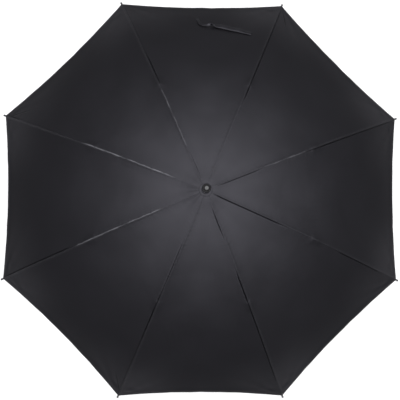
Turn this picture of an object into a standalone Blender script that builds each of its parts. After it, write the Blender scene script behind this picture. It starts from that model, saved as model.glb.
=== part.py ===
"""A manual golf umbrella with eight one-piece ribs, modelled open.

Metres, +Z up. The origin is the centre of the flat butt under the grip, and the shaft runs up +Z.
Rib 1 stands FIRST_RIB round from +X, and the others follow anticlockwise.
Each rib's radial plane is worked out in (outward, up) from its pivot in the crown.
"""

import math

import bmesh
import bpy
from mathutils import Euler, Matrix, Vector

MM = 0.001
GAP = 0.3 * MM
# How far a cutting tool runs past what it cuts
CLEAR = 12 * MM

# The frame of ribs
RIBS = 8
SECTOR = 2 * math.pi / RIBS
HALF_SECTOR = SECTOR / 2
FIRST_RIB = HALF_SECTOR
CROWN_Z = 0.930
PIVOT_RADIUS = 12 * MM
RIB_LENGTH = 0.750
RIB_SLOPE_IN = math.radians(15.0)
RIB_SLOPE_OUT = math.radians(45.4)
RIB_RADIUS = 2.0 * MM
RIB_STATIONS = 12
RIB_SIDES = 6
EYE_RADIUS = 2.9 * MM
EYE_THICKNESS = 2.4 * MM
TANG_LENGTH = 18 * MM
TANG_HALF_DEPTH = 2.4 * MM
ROD_START = 12 * MM
ROD_END = 742 * MM
BORE_SIDES = 10
CAP_LENGTH = 21 * MM
CAP_SEAT = 13.5 * MM
CAP_RADIUS = 3.1 * MM
CAP_SIDES = 10
THREAD_HOLE_RADIUS = 0.6 * MM
THREAD_HOLE_ALONG = 16.2 * MM

# The joint where each stretcher holds its rib
JOINT_ARC = 355 * MM
JOINT_DROP = 5.5 * MM
SLEEVE_RADIUS = 3.0 * MM
SLEEVE_HALF = 8 * MM
LUG_RADIUS = 2.8 * MM
LUG_HALF_ROOT = 3.4 * MM
LUG_THICKNESS = 3.0 * MM
RIVET_RADIUS = 1.25 * MM
RIVET_HEAD_RADIUS = 2.1 * MM
RIVET_HEAD = 0.8 * MM

# The stretchers, folded from steel strip into a channel that opens upwards
CHANNEL_WIDTH = 5.6 * MM
CHANNEL_DEPTH = 4.8 * MM
CHANNEL_WALL = 0.6 * MM
FORK_LENGTH = 6 * MM
FOOT_LENGTH = 14 * MM
FOOT_ROOT = 3 * MM
FOOT_THICKNESS = 2.6 * MM

# The crown and the runner, each with a groove and a ring of wire through the eyes
WIRE_RADIUS = 0.6 * MM
WIRE_HOLE = 1.05 * MM
GROOVE_HALF = 1.0 * MM
GROOVE_FLOOR = 10.9 * MM
HUB_RADIUS = 15.5 * MM
HUB_SIDES = 32
CROWN_BOTTOM = -8 * MM
CROWN_TOP = 5.5 * MM
SLOT_HEIGHT = 3.4 * MM
SLOT_FLOOR = 8.7 * MM
RUNNER_TOP = 8 * MM
RUNNER_HEAD_BOTTOM = -5.5 * MM
RUNNER_BOTTOM = -52 * MM
RUNNER_BORE = 7.5 * MM
RUNNER_SLEEVE = 10 * MM
THUMB_RING = 13 * MM

# The shaft, its two spring catches and the pieces fixed to its ends
SHAFT_RADIUS = 7 * MM
SHAFT_BORE = 6 * MM
SHAFT_BOTTOM = 0.030
SHAFT_TOP = CROWN_Z + 0.050
SEAT_RADIUS = SHAFT_RADIUS + GAP
CATCH_AZIMUTH = -math.pi / 2
CATCH_THICKNESS = 2 * MM
CATCH_INSET = 2 * MM
CATCH_ARM = 26 * MM
CATCH_REACH = 9 * MM
WINDOW_LOW = -44 * MM
WINDOW_HIGH = -32.5 * MM
HANDLE_TOP = 0.172
HANDLE_RADIUS = 15.5 * MM
BUTT_THICKNESS = 6 * MM
FERRULE_FOOT = CROWN_Z + 8 * MM
FERRULE_TOP = CROWN_Z + 0.080
ROSETTE_RADIUS = 20 * MM

# The fabric
FABRIC = 0.6 * MM
FABRIC_LIFT = 3.6 * MM
FABRIC_INNER_ARC = 12 * MM
FABRIC_OUTER_ARC = 735 * MM
HEM_CUT = 20 * MM
PANEL_SAG = 7 * MM
PANEL_ROWS = 12
PANEL_COLUMNS = 3
SEAM_GAP = 0.2 * MM
STRAP_WIDTH = 15 * MM
STRAP_SEWN = (0.142, 0.482)
STRAP_FREE = (0.004, 0.512)
STRAP_STEPS = 8

# How far the frame folds, and where the rib tips and the fabric's mid-lines end up
FOLDED_TIP_RADIUS = 31 * MM
PLEAT_LAG = math.radians(8.0)

CURVATURE = (RIB_SLOPE_OUT - RIB_SLOPE_IN) / RIB_LENGTH


def rib_point(arc, lift=0.0):
    """(outward, up, slope) at a length along the rib, lifted square off it."""
    slope = RIB_SLOPE_IN + CURVATURE * arc
    out = (math.sin(slope) - math.sin(RIB_SLOPE_IN)) / CURVATURE + lift * math.sin(slope)
    up = (math.cos(slope) - math.cos(RIB_SLOPE_IN)) / CURVATURE + lift * math.cos(slope)
    return out, up, slope


JOINT_OUT, JOINT_UP, JOINT_SLOPE = rib_point(JOINT_ARC, -JOINT_DROP)
STRETCHER_LENGTH = math.hypot(JOINT_OUT, JOINT_UP)
STRETCHER_DIP = math.atan2(-JOINT_UP, JOINT_OUT)
TIP_OUT, TIP_UP, _ = rib_point(RIB_LENGTH)
TIP_DIP = math.atan2(-TIP_UP, TIP_OUT)
FOLD = math.acos((FOLDED_TIP_RADIUS - PIVOT_RADIUS) / math.hypot(TIP_OUT, TIP_UP)) - TIP_DIP
# Stretcher and inner rib are the equal sides of a triangle, so the runner stays on the shaft
RUNNER_Z = CROWN_Z - 2 * STRETCHER_LENGTH * math.sin(STRETCHER_DIP)
RUNNER_FOLDED_Z = CROWN_Z - 2 * STRETCHER_LENGTH * math.sin(STRETCHER_DIP + FOLD)
TOP_CATCH_Z = RUNNER_Z + RUNNER_BOTTOM - GAP - CATCH_ARM
BOTTOM_CATCH_Z = RUNNER_FOLDED_Z + WINDOW_LOW + GAP + CATCH_ARM


def rib_azimuth(rib):
    return FIRST_RIB + SECTOR * (rib - 1)


def panel_hinge(side):
    """How one half-panel turns on its rib as the frame folds: (pivot, axis, angle), in the rib's frame.

    Its outer edge is the panel's mid-line, which stays in the plane half-way to the next rib, so the
    turn is the rib's own, undone, and then the same fold in that plane, less the lag of the pleat."""
    across = Vector((0, 1, 0))
    middle = Matrix.Rotation(side * HALF_SECTOR, 3, "Z") @ across
    undo = Matrix.Rotation(-FOLD, 3, across)
    turn = (undo @ Matrix.Rotation(FOLD - PLEAT_LAG, 3, middle)).to_quaternion()
    pivot = Vector((0, side * PIVOT_RADIUS * math.tan(HALF_SECTOR / 2), 0))
    return pivot, turn.axis, turn.angle


# Mesh helpers


def lathe(outline, sides, closed=True):
    """Turns (radius, height) points about Z. An outline that isn't closed starts and ends on the axis."""
    bm = bmesh.new()
    points = [bm.verts.new((radius, 0, height)) for radius, height in outline]
    following = points[1:] + points[:1] if closed else points[1:]
    edges = [bm.edges.new(pair) for pair in zip(points, following)]
    whole_turn = {"axis": (0, 0, 1), "cent": (0, 0, 0), "angle": 2 * math.pi, "steps": sides}
    bmesh.ops.spin(bm, geom=points + edges, use_merge=True, **whole_turn)
    return tidy(bm)


def tidy(bm):
    bmesh.ops.remove_doubles(bm, verts=bm.verts, dist=1e-6)
    bmesh.ops.recalc_face_normals(bm, faces=bm.faces)
    return bm


def plate(outline, thickness):
    """An outline of (x, z) points, as thick as that along Y."""
    bm = bmesh.new()
    face = bm.faces.new([bm.verts.new((x, -thickness / 2, z)) for x, z in outline])
    swept = bmesh.ops.extrude_face_region(bm, geom=[face])["geom"]
    far_side = [v for v in swept if isinstance(v, bmesh.types.BMVert)]
    bmesh.ops.translate(bm, verts=far_side, vec=(0, thickness, 0))
    return tidy(bm)


def tongue(length, radius, half_root, steps=6):
    """An outline with a round end about the origin and a square root out along X."""
    turns = [math.pi * (0.5 + step / steps) for step in range(steps + 1)]
    round_end = [(radius * math.cos(turn), radius * math.sin(turn)) for turn in turns]
    return round_end + [(length, -half_root), (length, half_root)]


def box(low, high):
    bm = bmesh.new()
    bmesh.ops.create_cube(bm, size=1)
    size = Vector(high) - Vector(low)
    bmesh.ops.scale(bm, verts=bm.verts, vec=size)
    bmesh.ops.translate(bm, verts=bm.verts, vec=(Vector(high) + Vector(low)) / 2)
    return bm


def cross_pin(radius, length, x=0.0, z=0.0):
    """A cylinder along Y."""
    bm = bmesh.new()
    bmesh.ops.create_cone(
        bm, cap_ends=True, segments=BORE_SIDES, radius1=radius, radius2=radius, depth=length
    )
    bmesh.ops.rotate(bm, verts=bm.verts, matrix=Matrix.Rotation(math.pi / 2, 3, "X"))
    bmesh.ops.translate(bm, verts=bm.verts, vec=(x, 0, z))
    return bm


def placed(bm, pitch=0.0, yaw=0.0, at=(0, 0, 0)):
    """Turned down by pitch, then round by yaw, then moved."""
    turn = Euler((0, pitch, yaw)).to_matrix().to_4x4()
    bm.transform(Matrix.Translation(at) @ turn)
    return bm


def mesh_of(bm, name):
    mesh = bpy.data.meshes.new(name)
    bm.to_mesh(mesh)
    bm.free()
    return mesh


def combined(base, name, unions=(), cuts=()):
    """One mesh: the base with some solids joined to it and others cut from it."""
    body = bpy.data.objects.new(name, mesh_of(base, name))
    bpy.context.scene.collection.objects.link(body)
    steps = [("UNION", bm) for bm in unions] + [("DIFFERENCE", bm) for bm in cuts]
    tools = []
    for operation, bm in steps:
        tool = bpy.data.objects.new("tool", mesh_of(bm, "tool"))
        bpy.context.scene.collection.objects.link(tool)
        modifier = body.modifiers.new(operation.title(), "BOOLEAN")
        modifier.operation = operation
        modifier.object = tool
        tools.append(tool)
    shaped = body.evaluated_get(bpy.context.evaluated_depsgraph_get())
    mesh = bpy.data.meshes.new_from_object(shaped)
    for used in [body, *tools]:
        bpy.data.objects.remove(used)
    return mesh


def finish(name, colour, roughness, metallic=0.0):
    """A plain Principled material."""
    material = bpy.data.materials.new(name)
    material.use_nodes = True
    shader = material.node_tree.nodes["Principled BSDF"]
    shader.inputs["Base Color"].default_value = (*colour, 1)
    shader.inputs["Roughness"].default_value = roughness
    shader.inputs["Metallic"].default_value = metallic
    return material


def add(name, mesh, material, at=(0, 0, 0), pitch=0.0, yaw=0.0):
    obj = bpy.data.objects.new(name, mesh)
    bpy.context.scene.collection.objects.link(obj)
    if not mesh.materials:
        mesh.materials.append(material)
    mesh.shade_smooth()
    mesh.set_sharp_from_angle(angle=math.radians(35))
    obj.location = at
    obj.rotation_euler = (0, pitch, yaw)
    return obj


# Shapes


def rib_rod():
    """The bent rod, with the crimped sleeve of its stretcher joint half-way along."""
    arcs = [ROD_START + (ROD_END - ROD_START) * n / RIB_STATIONS for n in range(RIB_STATIONS + 1)]
    sleeve = (JOINT_ARC - SLEEVE_HALF, JOINT_ARC + SLEEVE_HALF)
    arcs = [arc for arc in arcs if not sleeve[0] - 5 * MM < arc < sleeve[1] + 5 * MM]
    rings = [(arc, RIB_RADIUS) for arc in arcs]
    rings += [(arc, radius) for arc in sleeve for radius in (RIB_RADIUS, SLEEVE_RADIUS)]
    middle = sum(sleeve) / 2
    rings.sort(key=lambda ring: (ring[0], ring[1] if ring[0] < middle else -ring[1]))
    bm = bmesh.new()
    loops = []
    for arc, radius in rings:
        out, up, slope = rib_point(arc)
        turn = Matrix.Rotation(slope, 3, "Y")
        angles = [2 * math.pi * (side + 0.5) / RIB_SIDES for side in range(RIB_SIDES)]
        ring = [turn @ Vector((0, radius * math.cos(a), radius * math.sin(a))) for a in angles]
        loops.append([bm.verts.new(point + Vector((out, 0, up))) for point in ring])
    for near, far in zip(loops, loops[1:]):
        for side in range(RIB_SIDES):
            after = (side + 1) % RIB_SIDES
            bm.faces.new((near[side], near[after], far[after], far[side]))
    bm.faces.new(loops[0])
    bm.faces.new(loops[-1])
    return tidy(bm)


def rib_mesh():
    tang = tongue(TANG_LENGTH, EYE_RADIUS, TANG_HALF_DEPTH)
    eye = placed(plate(tang, EYE_THICKNESS), RIB_SLOPE_IN)
    lug = placed(
        plate(tongue(JOINT_DROP, LUG_RADIUS, LUG_HALF_ROOT), LUG_THICKNESS),
        pitch=JOINT_SLOPE - math.pi / 2,
        at=(JOINT_OUT, 0, JOINT_UP),
    )
    wire_hole = cross_pin(WIRE_HOLE, CLEAR)
    rivet_hole = cross_pin(RIVET_RADIUS + GAP, CLEAR, JOINT_OUT, JOINT_UP)
    return combined(rib_rod(), "rib", unions=(eye, lug), cuts=(wire_hole, rivet_hole))


def rib_tip_mesh():
    """A capped sleeve on the end of the rib, with the hole that the corner of the fabric is sewn to."""
    bore = RIB_RADIUS + GAP
    outline = [
        (0, CAP_SEAT),
        (bore, CAP_SEAT),
        (bore, 0),
        (CAP_RADIUS - 0.4 * MM, 0),
        (CAP_RADIUS, 0.6 * MM),
        (CAP_RADIUS * 0.92, CAP_LENGTH * 0.72),
        (CAP_RADIUS, CAP_LENGTH * 0.8),
        (CAP_RADIUS * 0.95, CAP_LENGTH * 0.9),
        (CAP_RADIUS * 0.6, CAP_LENGTH * 0.98),
        (0, CAP_LENGTH),
    ]
    pin = cross_pin(THREAD_HOLE_RADIUS, CLEAR)
    thread_hole = placed(pin, yaw=math.pi / 2, at=(0, 0, THREAD_HOLE_ALONG))
    mesh = combined(lathe(outline, CAP_SIDES, closed=False), "rib_tip", cuts=(thread_hole,))
    out, up, slope = rib_point(RIB_LENGTH - CAP_LENGTH)
    along = Matrix.Rotation(slope + math.pi / 2, 4, "Y")
    mesh.transform(Matrix.Translation((out, 0, up)) @ along)
    return mesh


def stretcher_mesh():
    """The channel lies along -X from the rivet at the origin to the eye of its foot."""
    length = STRETCHER_LENGTH
    half_depth = CHANNEL_DEPTH / 2
    half_inside = CHANNEL_WIDTH / 2 - CHANNEL_WALL
    end = tongue(0, half_depth, half_depth)[:-2]
    bar = plate([(-x, z) for x, z in end] + [(x - length, z) for x, z in reversed(end)], CHANNEL_WIDTH)
    past = (CLEAR, half_inside, CLEAR)
    pocket = box((FOOT_LENGTH - length, -half_inside, CHANNEL_WALL - half_depth), past)
    fork = box((-FORK_LENGTH, -half_inside, -CLEAR), past)
    foot_end = FOOT_LENGTH - length - FOOT_ROOT
    foot_sides = [
        box((-length - CLEAR, low, -CLEAR), (foot_end, low + CLEAR, CLEAR))
        for low in (FOOT_THICKNESS / 2, -FOOT_THICKNESS / 2 - CLEAR)
    ]
    rivet_hole = cross_pin(RIVET_RADIUS + GAP, CLEAR)
    wire_hole = cross_pin(WIRE_HOLE, CLEAR, -length)
    return combined(bar, "stretcher", cuts=(pocket, fork, *foot_sides, rivet_hole, wire_hole))


def rivet_mesh():
    """Along Y, with a flat head outside each cheek of the fork."""
    cheek = CHANNEL_WIDTH / 2 + GAP
    edge = cheek + RIVET_HEAD
    half = [(RIVET_RADIUS, cheek), (RIVET_HEAD_RADIUS, cheek), (RIVET_HEAD_RADIUS * 0.8, edge), (0, edge)]
    outline = [(radius, -height) for radius, height in reversed(half)] + half
    bm = lathe(outline, BORE_SIDES, closed=False)
    bmesh.ops.rotate(bm, verts=bm.verts, matrix=Matrix.Rotation(math.pi / 2, 3, "X"))
    return mesh_of(bm, "rivet")


def hub_slots(low, high, half_width):
    """Eight radial slots for the eyes, from the slot floor to past the rim."""
    slot = (SLOT_FLOOR, -half_width, low), (HUB_RADIUS + CLEAR, half_width, high)
    return [placed(box(*slot), yaw=rib_azimuth(rib)) for rib in range(1, RIBS + 1)]


def groove():
    """The wire's groove, from its floor out to the rim, as part of a hub's outline from below."""
    return [
        (HUB_RADIUS, -GROOVE_HALF),
        (GROOVE_FLOOR, -GROOVE_HALF),
        (GROOVE_FLOOR, GROOVE_HALF),
        (HUB_RADIUS, GROOVE_HALF),
    ]


def crown_mesh():
    outline = [
        (SEAT_RADIUS, CROWN_BOTTOM),
        (HUB_RADIUS - 1 * MM, CROWN_BOTTOM),
        (HUB_RADIUS, CROWN_BOTTOM + 1 * MM),
        *groove(),
        (HUB_RADIUS, CROWN_TOP - 1.2 * MM),
        (11 * MM, CROWN_TOP),
        (SEAT_RADIUS, CROWN_TOP),
    ]
    slots = hub_slots(CROWN_BOTTOM - CLEAR, SLOT_HEIGHT, EYE_THICKNESS / 2 + GAP)
    return combined(lathe(outline, HUB_SIDES), "crown", cuts=slots)


def runner_mesh():
    outline = [
        (RUNNER_BORE, RUNNER_BOTTOM),
        (THUMB_RING - 0.8 * MM, RUNNER_BOTTOM),
        (THUMB_RING, RUNNER_BOTTOM + 1 * MM),
        (THUMB_RING, RUNNER_BOTTOM + 4 * MM),
        (RUNNER_SLEEVE, RUNNER_BOTTOM + 6 * MM),
        (RUNNER_SLEEVE, RUNNER_HEAD_BOTTOM - 6 * MM),
        (HUB_RADIUS, RUNNER_HEAD_BOTTOM),
        *groove(),
        (HUB_RADIUS, RUNNER_TOP - 1 * MM),
        (HUB_RADIUS - 1 * MM, RUNNER_TOP),
        (RUNNER_BORE, RUNNER_TOP),
    ]
    slots = hub_slots(-SLOT_HEIGHT, RUNNER_TOP + CLEAR, FOOT_THICKNESS / 2 + GAP)
    half_window = CATCH_THICKNESS / 2 + 1 * MM
    window = placed(
        box((2 * MM, -half_window, WINDOW_LOW), (20 * MM, half_window, WINDOW_HIGH)), yaw=CATCH_AZIMUTH
    )
    return combined(lathe(outline, HUB_SIDES), "runner", cuts=(*slots, window))


def wire_mesh():
    turns = [2 * math.pi * (side + 0.5) / 6 for side in range(6)]
    outline = [(PIVOT_RADIUS + WIRE_RADIUS * math.cos(a), WIRE_RADIUS * math.sin(a)) for a in turns]
    return mesh_of(lathe(outline, HUB_SIDES), "wire")


def shaft_mesh():
    """A tube, slotted where each catch comes out."""
    outline = [
        (SHAFT_BORE, SHAFT_BOTTOM),
        (SHAFT_RADIUS, SHAFT_BOTTOM),
        (SHAFT_RADIUS, SHAFT_TOP),
        (SHAFT_BORE, SHAFT_TOP),
    ]
    half_slot = CATCH_THICKNESS / 2 + 0.4 * MM
    slot_start = 6 * MM
    slot_end = CATCH_ARM + 1 * MM
    reaches = (
        (TOP_CATCH_Z + slot_start, TOP_CATCH_Z + slot_end),
        (BOTTOM_CATCH_Z - slot_end, BOTTOM_CATCH_Z - slot_start),
    )
    slots = [
        placed(box((2 * MM, -half_slot, low), (12 * MM, half_slot, high)), yaw=CATCH_AZIMUTH)
        for low, high in reaches
    ]
    return combined(lathe(outline, 32), "shaft", cuts=slots)


def catch_mesh(facing):
    """A flat spring lever with its hinge at the origin and its square nose up (1) or down (-1)."""
    nose = (CATCH_REACH, CATCH_ARM), (0, CATCH_ARM)
    back = (-1.4 * MM, 14 * MM), (-2 * MM, 0)
    heel = (-1.2 * MM, -1.8 * MM), (1.2 * MM, -1.8 * MM)
    ramp = (2.4 * MM, 0), (3.6 * MM, 13 * MM)
    outline = [(x, facing * z) for x, z in (*nose, *back, *heel, *ramp)]
    return mesh_of(plate(outline, CATCH_THICKNESS), "catch")


def handle_mesh():
    """A straight grip, swelling a little at mid-length and bored through for the shaft."""
    low = BUTT_THICKNESS + GAP
    swell = 1.2 * MM
    steps = 10
    side = []
    for step in range(steps + 1):
        share = step / steps
        height = low + 5 * MM + (HANDLE_TOP - low - 14 * MM) * share
        side.append((HANDLE_RADIUS - swell * math.cos(2 * math.pi * share) / 2 - swell / 2, height))
    outline = [
        (SEAT_RADIUS, low),
        (HANDLE_RADIUS - 2.6 * MM, low),
        (HANDLE_RADIUS - 1.6 * MM, low + 1.2 * MM),
        *side,
        (HANDLE_RADIUS - 3 * MM, HANDLE_TOP - 3 * MM),
        (HANDLE_RADIUS - 5.5 * MM, HANDLE_TOP),
        (SEAT_RADIUS, HANDLE_TOP),
    ]
    return mesh_of(lathe(outline, 32), "handle")


def end_cap_mesh():
    """A flat-bottomed disc with a spigot up into the bore of the grip."""
    spigot = SEAT_RADIUS - GAP
    outline = [
        (0, 0),
        (HANDLE_RADIUS - 2.4 * MM, 0),
        (HANDLE_RADIUS - 1.2 * MM, 1.2 * MM),
        (HANDLE_RADIUS - 1.2 * MM, BUTT_THICKNESS - 1 * MM),
        (HANDLE_RADIUS - 2.2 * MM, BUTT_THICKNESS),
        (spigot, BUTT_THICKNESS),
        (spigot, SHAFT_BOTTOM - 2 * MM),
        (spigot - 1 * MM, SHAFT_BOTTOM - 1 * MM),
        (0, SHAFT_BOTTOM - 1 * MM),
    ]
    return mesh_of(lathe(outline, 32, closed=False), "end_cap")


def rosette_mesh():
    low = 6.5 * MM
    outline = [
        (SEAT_RADIUS, low),
        (ROSETTE_RADIUS - 5 * MM, low),
        (ROSETTE_RADIUS, low - 2.2 * MM),
        (ROSETTE_RADIUS, low - 1.4 * MM),
        (ROSETTE_RADIUS - 5 * MM, low + 1.0 * MM),
        (SEAT_RADIUS, low + 1.0 * MM),
    ]
    return mesh_of(lathe(outline, HUB_SIDES), "rosette")


def ferrule_mesh():
    """A tall cap with a slight waist and a round top, bored from below for the shaft."""
    foot, top, bore = FERRULE_FOOT - CROWN_Z, FERRULE_TOP - CROWN_Z, SHAFT_TOP - CROWN_Z + GAP
    head = 12 * MM
    dome_steps = 8
    dome_height = 11 * MM
    dome = []
    for step in range(1, dome_steps):
        turn = math.pi / 2 * step / dome_steps
        dome.append((head * math.cos(turn), top - dome_height * (1 - math.sin(turn))))
    outline = [
        (0, bore),
        (SEAT_RADIUS, bore),
        (SEAT_RADIUS, foot),
        (11.4 * MM, foot),
        (11.8 * MM, foot + 1.2 * MM),
        (11.5 * MM, foot + 3 * MM),
        (10.7 * MM, foot + 8 * MM),
        (10.2 * MM, foot + 22 * MM),
        (10.8 * MM, foot + 44 * MM),
        (head, top - dome_height),
        *dome,
        (0, top),
    ]
    return mesh_of(lathe(outline, 32, closed=False), "ferrule")


def canopy_point(arc, across, lift):
    """A point of the fabric in the frame of its panel's mid-plane: outward, across from the mid-line,
    and up from the crown pivots. Each row is a straight chord between two ribs, let down a little in
    the middle of the panel."""
    out, up, _ = rib_point(arc, lift)
    seam = (PIVOT_RADIUS + out) * math.sin(HALF_SECTOR)
    share = across / seam
    sag = PANEL_SAG * math.sin(math.pi * min(arc / FABRIC_OUTER_ARC, 1)) * (1 - share * share)
    return Vector(((PIVOT_RADIUS + out) * math.cos(HALF_SECTOR), across, up - sag))


def half_panel_mesh(side):
    """Half of a panel, from its rib to its mid-line, as a thin closed sheet.

    Its frame is the mid-plane's, with the origin at the hinge's pivot; side is 1 for the half that
    lies anticlockwise of its rib, where the seam has negative Y."""
    bm = bmesh.new()
    hinge = Vector((PIVOT_RADIUS / math.cos(HALF_SECTOR / 2), 0, 0))
    hinge.rotate(Euler((0, 0, -side * HALF_SECTOR / 2)))
    skins = []
    for lift in (FABRIC_LIFT, FABRIC_LIFT + FABRIC):
        rows = []
        for row in range(PANEL_ROWS + 1):
            points = []
            for column in range(PANEL_COLUMNS + 1):
                share = column / PANEL_COLUMNS
                outer = FABRIC_OUTER_ARC - HEM_CUT * (1 - share * share)
                arc = FABRIC_INNER_ARC + (outer - FABRIC_INNER_ARC) * row / PANEL_ROWS
                seam = (PIVOT_RADIUS + rib_point(arc, lift)[0]) * math.sin(HALF_SECTOR)
                low, high = SEAM_GAP, seam - SEAM_GAP / math.cos(HALF_SECTOR)
                point = canopy_point(arc, low + (high - low) * share, lift)
                points.append(bm.verts.new(Vector((point.x, -side * point.y, point.z)) - hinge))
            rows.append(points)
        skins.append(rows)
    under, over = skins
    for rows in skins:
        for near, far in zip(rows, rows[1:]):
            for a, b, c, d in zip(near, near[1:], far[1:], far):
                bm.faces.new((a, b, c, d))
    rims = [
        (under[0], over[0]),
        (under[-1], over[-1]),
        ([row[0] for row in under], [row[0] for row in over]),
        ([row[-1] for row in under], [row[-1] for row in over]),
    ]
    for low_rim, high_rim in rims:
        for a, b, c, d in zip(low_rim, low_rim[1:], high_rim[1:], high_rim):
            bm.faces.new((a, b, c, d))
    return mesh_of(tidy(bm), "half_panel")


def canopy_height(out, across, lift):
    """How high the fabric is over a point of the panel's plan, from the crown pivots."""
    radius = out / math.cos(HALF_SECTOR)
    rise = (radius - PIVOT_RADIUS) * CURVATURE + math.sin(RIB_SLOPE_IN)
    slope = math.asin(rise / (1 + lift * CURVATURE))
    return canopy_point((slope - RIB_SLOPE_IN) / CURVATURE, across, lift).z


def strap_mesh():
    """The closing strap, lying flat on its panel; its frame is the panel's plan, +Y outward."""
    start, end = Vector(STRAP_SEWN), Vector(STRAP_FREE)
    sideways = (end - start).orthogonal().normalized() * STRAP_WIDTH / 2
    bm = bmesh.new()
    lift = FABRIC_LIFT + FABRIC + 0.6 * MM
    sections = []
    for step in range(STRAP_STEPS + 1):
        middle = start.lerp(end, step / STRAP_STEPS)
        section = []
        for edge, height in ((-1, lift), (1, lift), (1, lift + FABRIC), (-1, lift + FABRIC)):
            x, y = middle + sideways * edge
            section.append(bm.verts.new((x, y, CROWN_Z + canopy_height(y, x, height))))
        sections.append(section)
    for near, far in zip(sections, sections[1:]):
        for side in range(4):
            after = (side + 1) % 4
            bm.faces.new((near[side], near[after], far[after], far[side]))
    bm.faces.new(sections[0])
    bm.faces.new(sections[-1])
    return mesh_of(tidy(bm), "tie_strap")


# Assembly


def in_plane(azimuth, radius, height):
    return Vector((radius * math.cos(azimuth), radius * math.sin(azimuth), height))


def add_frame():
    rib_black = finish("rib_black", (0.012, 0.012, 0.013), 0.3)
    tip_black = finish("tip_black", (0.015, 0.015, 0.016), 0.35)
    strip_black = finish("strip_black", (0.02, 0.02, 0.022), 0.38, 1.0)
    rivet_steel = finish("rivet_steel", (0.45, 0.45, 0.46), 0.3, 1.0)
    rib, tip, stretcher, rivet = rib_mesh(), rib_tip_mesh(), stretcher_mesh(), rivet_mesh()
    for number in range(1, RIBS + 1):
        azimuth = rib_azimuth(number)
        pivot = in_plane(azimuth, PIVOT_RADIUS, CROWN_Z)
        joint = in_plane(azimuth, PIVOT_RADIUS + JOINT_OUT, CROWN_Z + JOINT_UP)
        add(f"rib_{number}", rib, rib_black, pivot, yaw=azimuth)
        add(f"rib_tip_{number}", tip, tip_black, pivot, yaw=azimuth)
        add(f"stretcher_{number}", stretcher, strip_black, joint, -STRETCHER_DIP, azimuth)
        add(f"rivet_{number}", rivet, rivet_steel, joint, yaw=azimuth)


def add_canopy():
    fabric_black = finish("fabric_black", (0.03, 0.03, 0.033), 0.55)
    strap_black = finish("strap_black", (0.035, 0.035, 0.038), 0.6)
    halves = {side: half_panel_mesh(side) for side in (1, -1)}
    for number in range(1, RIBS + 1):
        for letter, side in (("a", 1), ("b", -1)):
            azimuth = rib_azimuth(number)
            pivot = Matrix.Rotation(azimuth, 3, "Z") @ (
                Vector((PIVOT_RADIUS, 0, 0)) + panel_hinge(side)[0]
            )
            at = pivot + Vector((0, 0, CROWN_Z))
            name = f"canopy_{number}{letter}"
            add(name, halves[side], fabric_black, at, yaw=azimuth + side * HALF_SECTOR)
    add("tie_strap", strap_mesh(), strap_black)


def add_shaft_pieces():
    gloss_black = finish("gloss_black", (0.01, 0.01, 0.011), 0.12)
    hub_black = finish("hub_black", (0.02, 0.02, 0.02), 0.4)
    shaft_black = finish("shaft_black", (0.015, 0.015, 0.016), 0.25)
    grip_black = finish("grip_black", (0.03, 0.03, 0.03), 0.8)
    spring_steel = finish("spring_steel", (0.55, 0.55, 0.56), 0.28, 1.0)
    rosette_black = finish("rosette_black", (0.025, 0.025, 0.027), 0.5)
    crown = (0, 0, CROWN_Z)
    add("shaft", shaft_mesh(), shaft_black)
    add("crown", crown_mesh(), hub_black, crown)
    add("crown_wire", wire_mesh(), spring_steel, crown)
    add("rosette", rosette_mesh(), rosette_black, crown)
    add("ferrule", ferrule_mesh(), gloss_black, crown)
    add("runner", runner_mesh(), hub_black, (0, 0, RUNNER_Z))
    add("runner_wire", wire_mesh(), spring_steel, (0, 0, RUNNER_Z))
    add("handle", handle_mesh(), grip_black)
    add("end_cap", end_cap_mesh(), gloss_black)
    catches = (("top_catch", 1, TOP_CATCH_Z), ("bottom_catch", -1, BOTTOM_CATCH_Z))
    for name, facing, height in catches:
        at = in_plane(CATCH_AZIMUTH, CATCH_INSET, height)
        add(name, catch_mesh(facing), spring_steel, at, yaw=CATCH_AZIMUTH)


def build():
    for obj in list(bpy.data.objects):
        bpy.data.objects.remove(obj)
    add_frame()
    add_canopy()
    add_shaft_pieces()


build()
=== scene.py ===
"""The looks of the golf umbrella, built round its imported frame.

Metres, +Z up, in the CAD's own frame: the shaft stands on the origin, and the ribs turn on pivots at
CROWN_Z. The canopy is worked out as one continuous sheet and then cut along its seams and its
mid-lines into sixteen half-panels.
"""

import math
from contextlib import contextmanager

import bmesh
import bpy
import numpy as np
from mathutils import Matrix, Vector


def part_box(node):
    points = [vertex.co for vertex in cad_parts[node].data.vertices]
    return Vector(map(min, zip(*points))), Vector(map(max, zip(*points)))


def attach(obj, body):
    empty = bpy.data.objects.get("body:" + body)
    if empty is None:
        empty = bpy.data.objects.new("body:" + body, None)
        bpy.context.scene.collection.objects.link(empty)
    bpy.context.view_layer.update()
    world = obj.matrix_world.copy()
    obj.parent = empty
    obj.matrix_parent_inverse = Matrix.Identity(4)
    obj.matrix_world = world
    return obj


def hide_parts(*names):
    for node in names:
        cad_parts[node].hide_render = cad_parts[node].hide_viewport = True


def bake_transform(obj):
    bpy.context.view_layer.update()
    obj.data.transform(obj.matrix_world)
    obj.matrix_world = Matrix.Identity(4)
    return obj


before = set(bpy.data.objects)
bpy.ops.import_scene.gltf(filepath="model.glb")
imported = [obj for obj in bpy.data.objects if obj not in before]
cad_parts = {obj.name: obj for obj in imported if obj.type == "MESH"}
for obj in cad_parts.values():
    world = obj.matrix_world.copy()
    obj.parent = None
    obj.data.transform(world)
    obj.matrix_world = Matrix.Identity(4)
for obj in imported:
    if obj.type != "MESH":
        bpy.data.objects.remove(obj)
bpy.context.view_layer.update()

MM = 0.001

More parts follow.
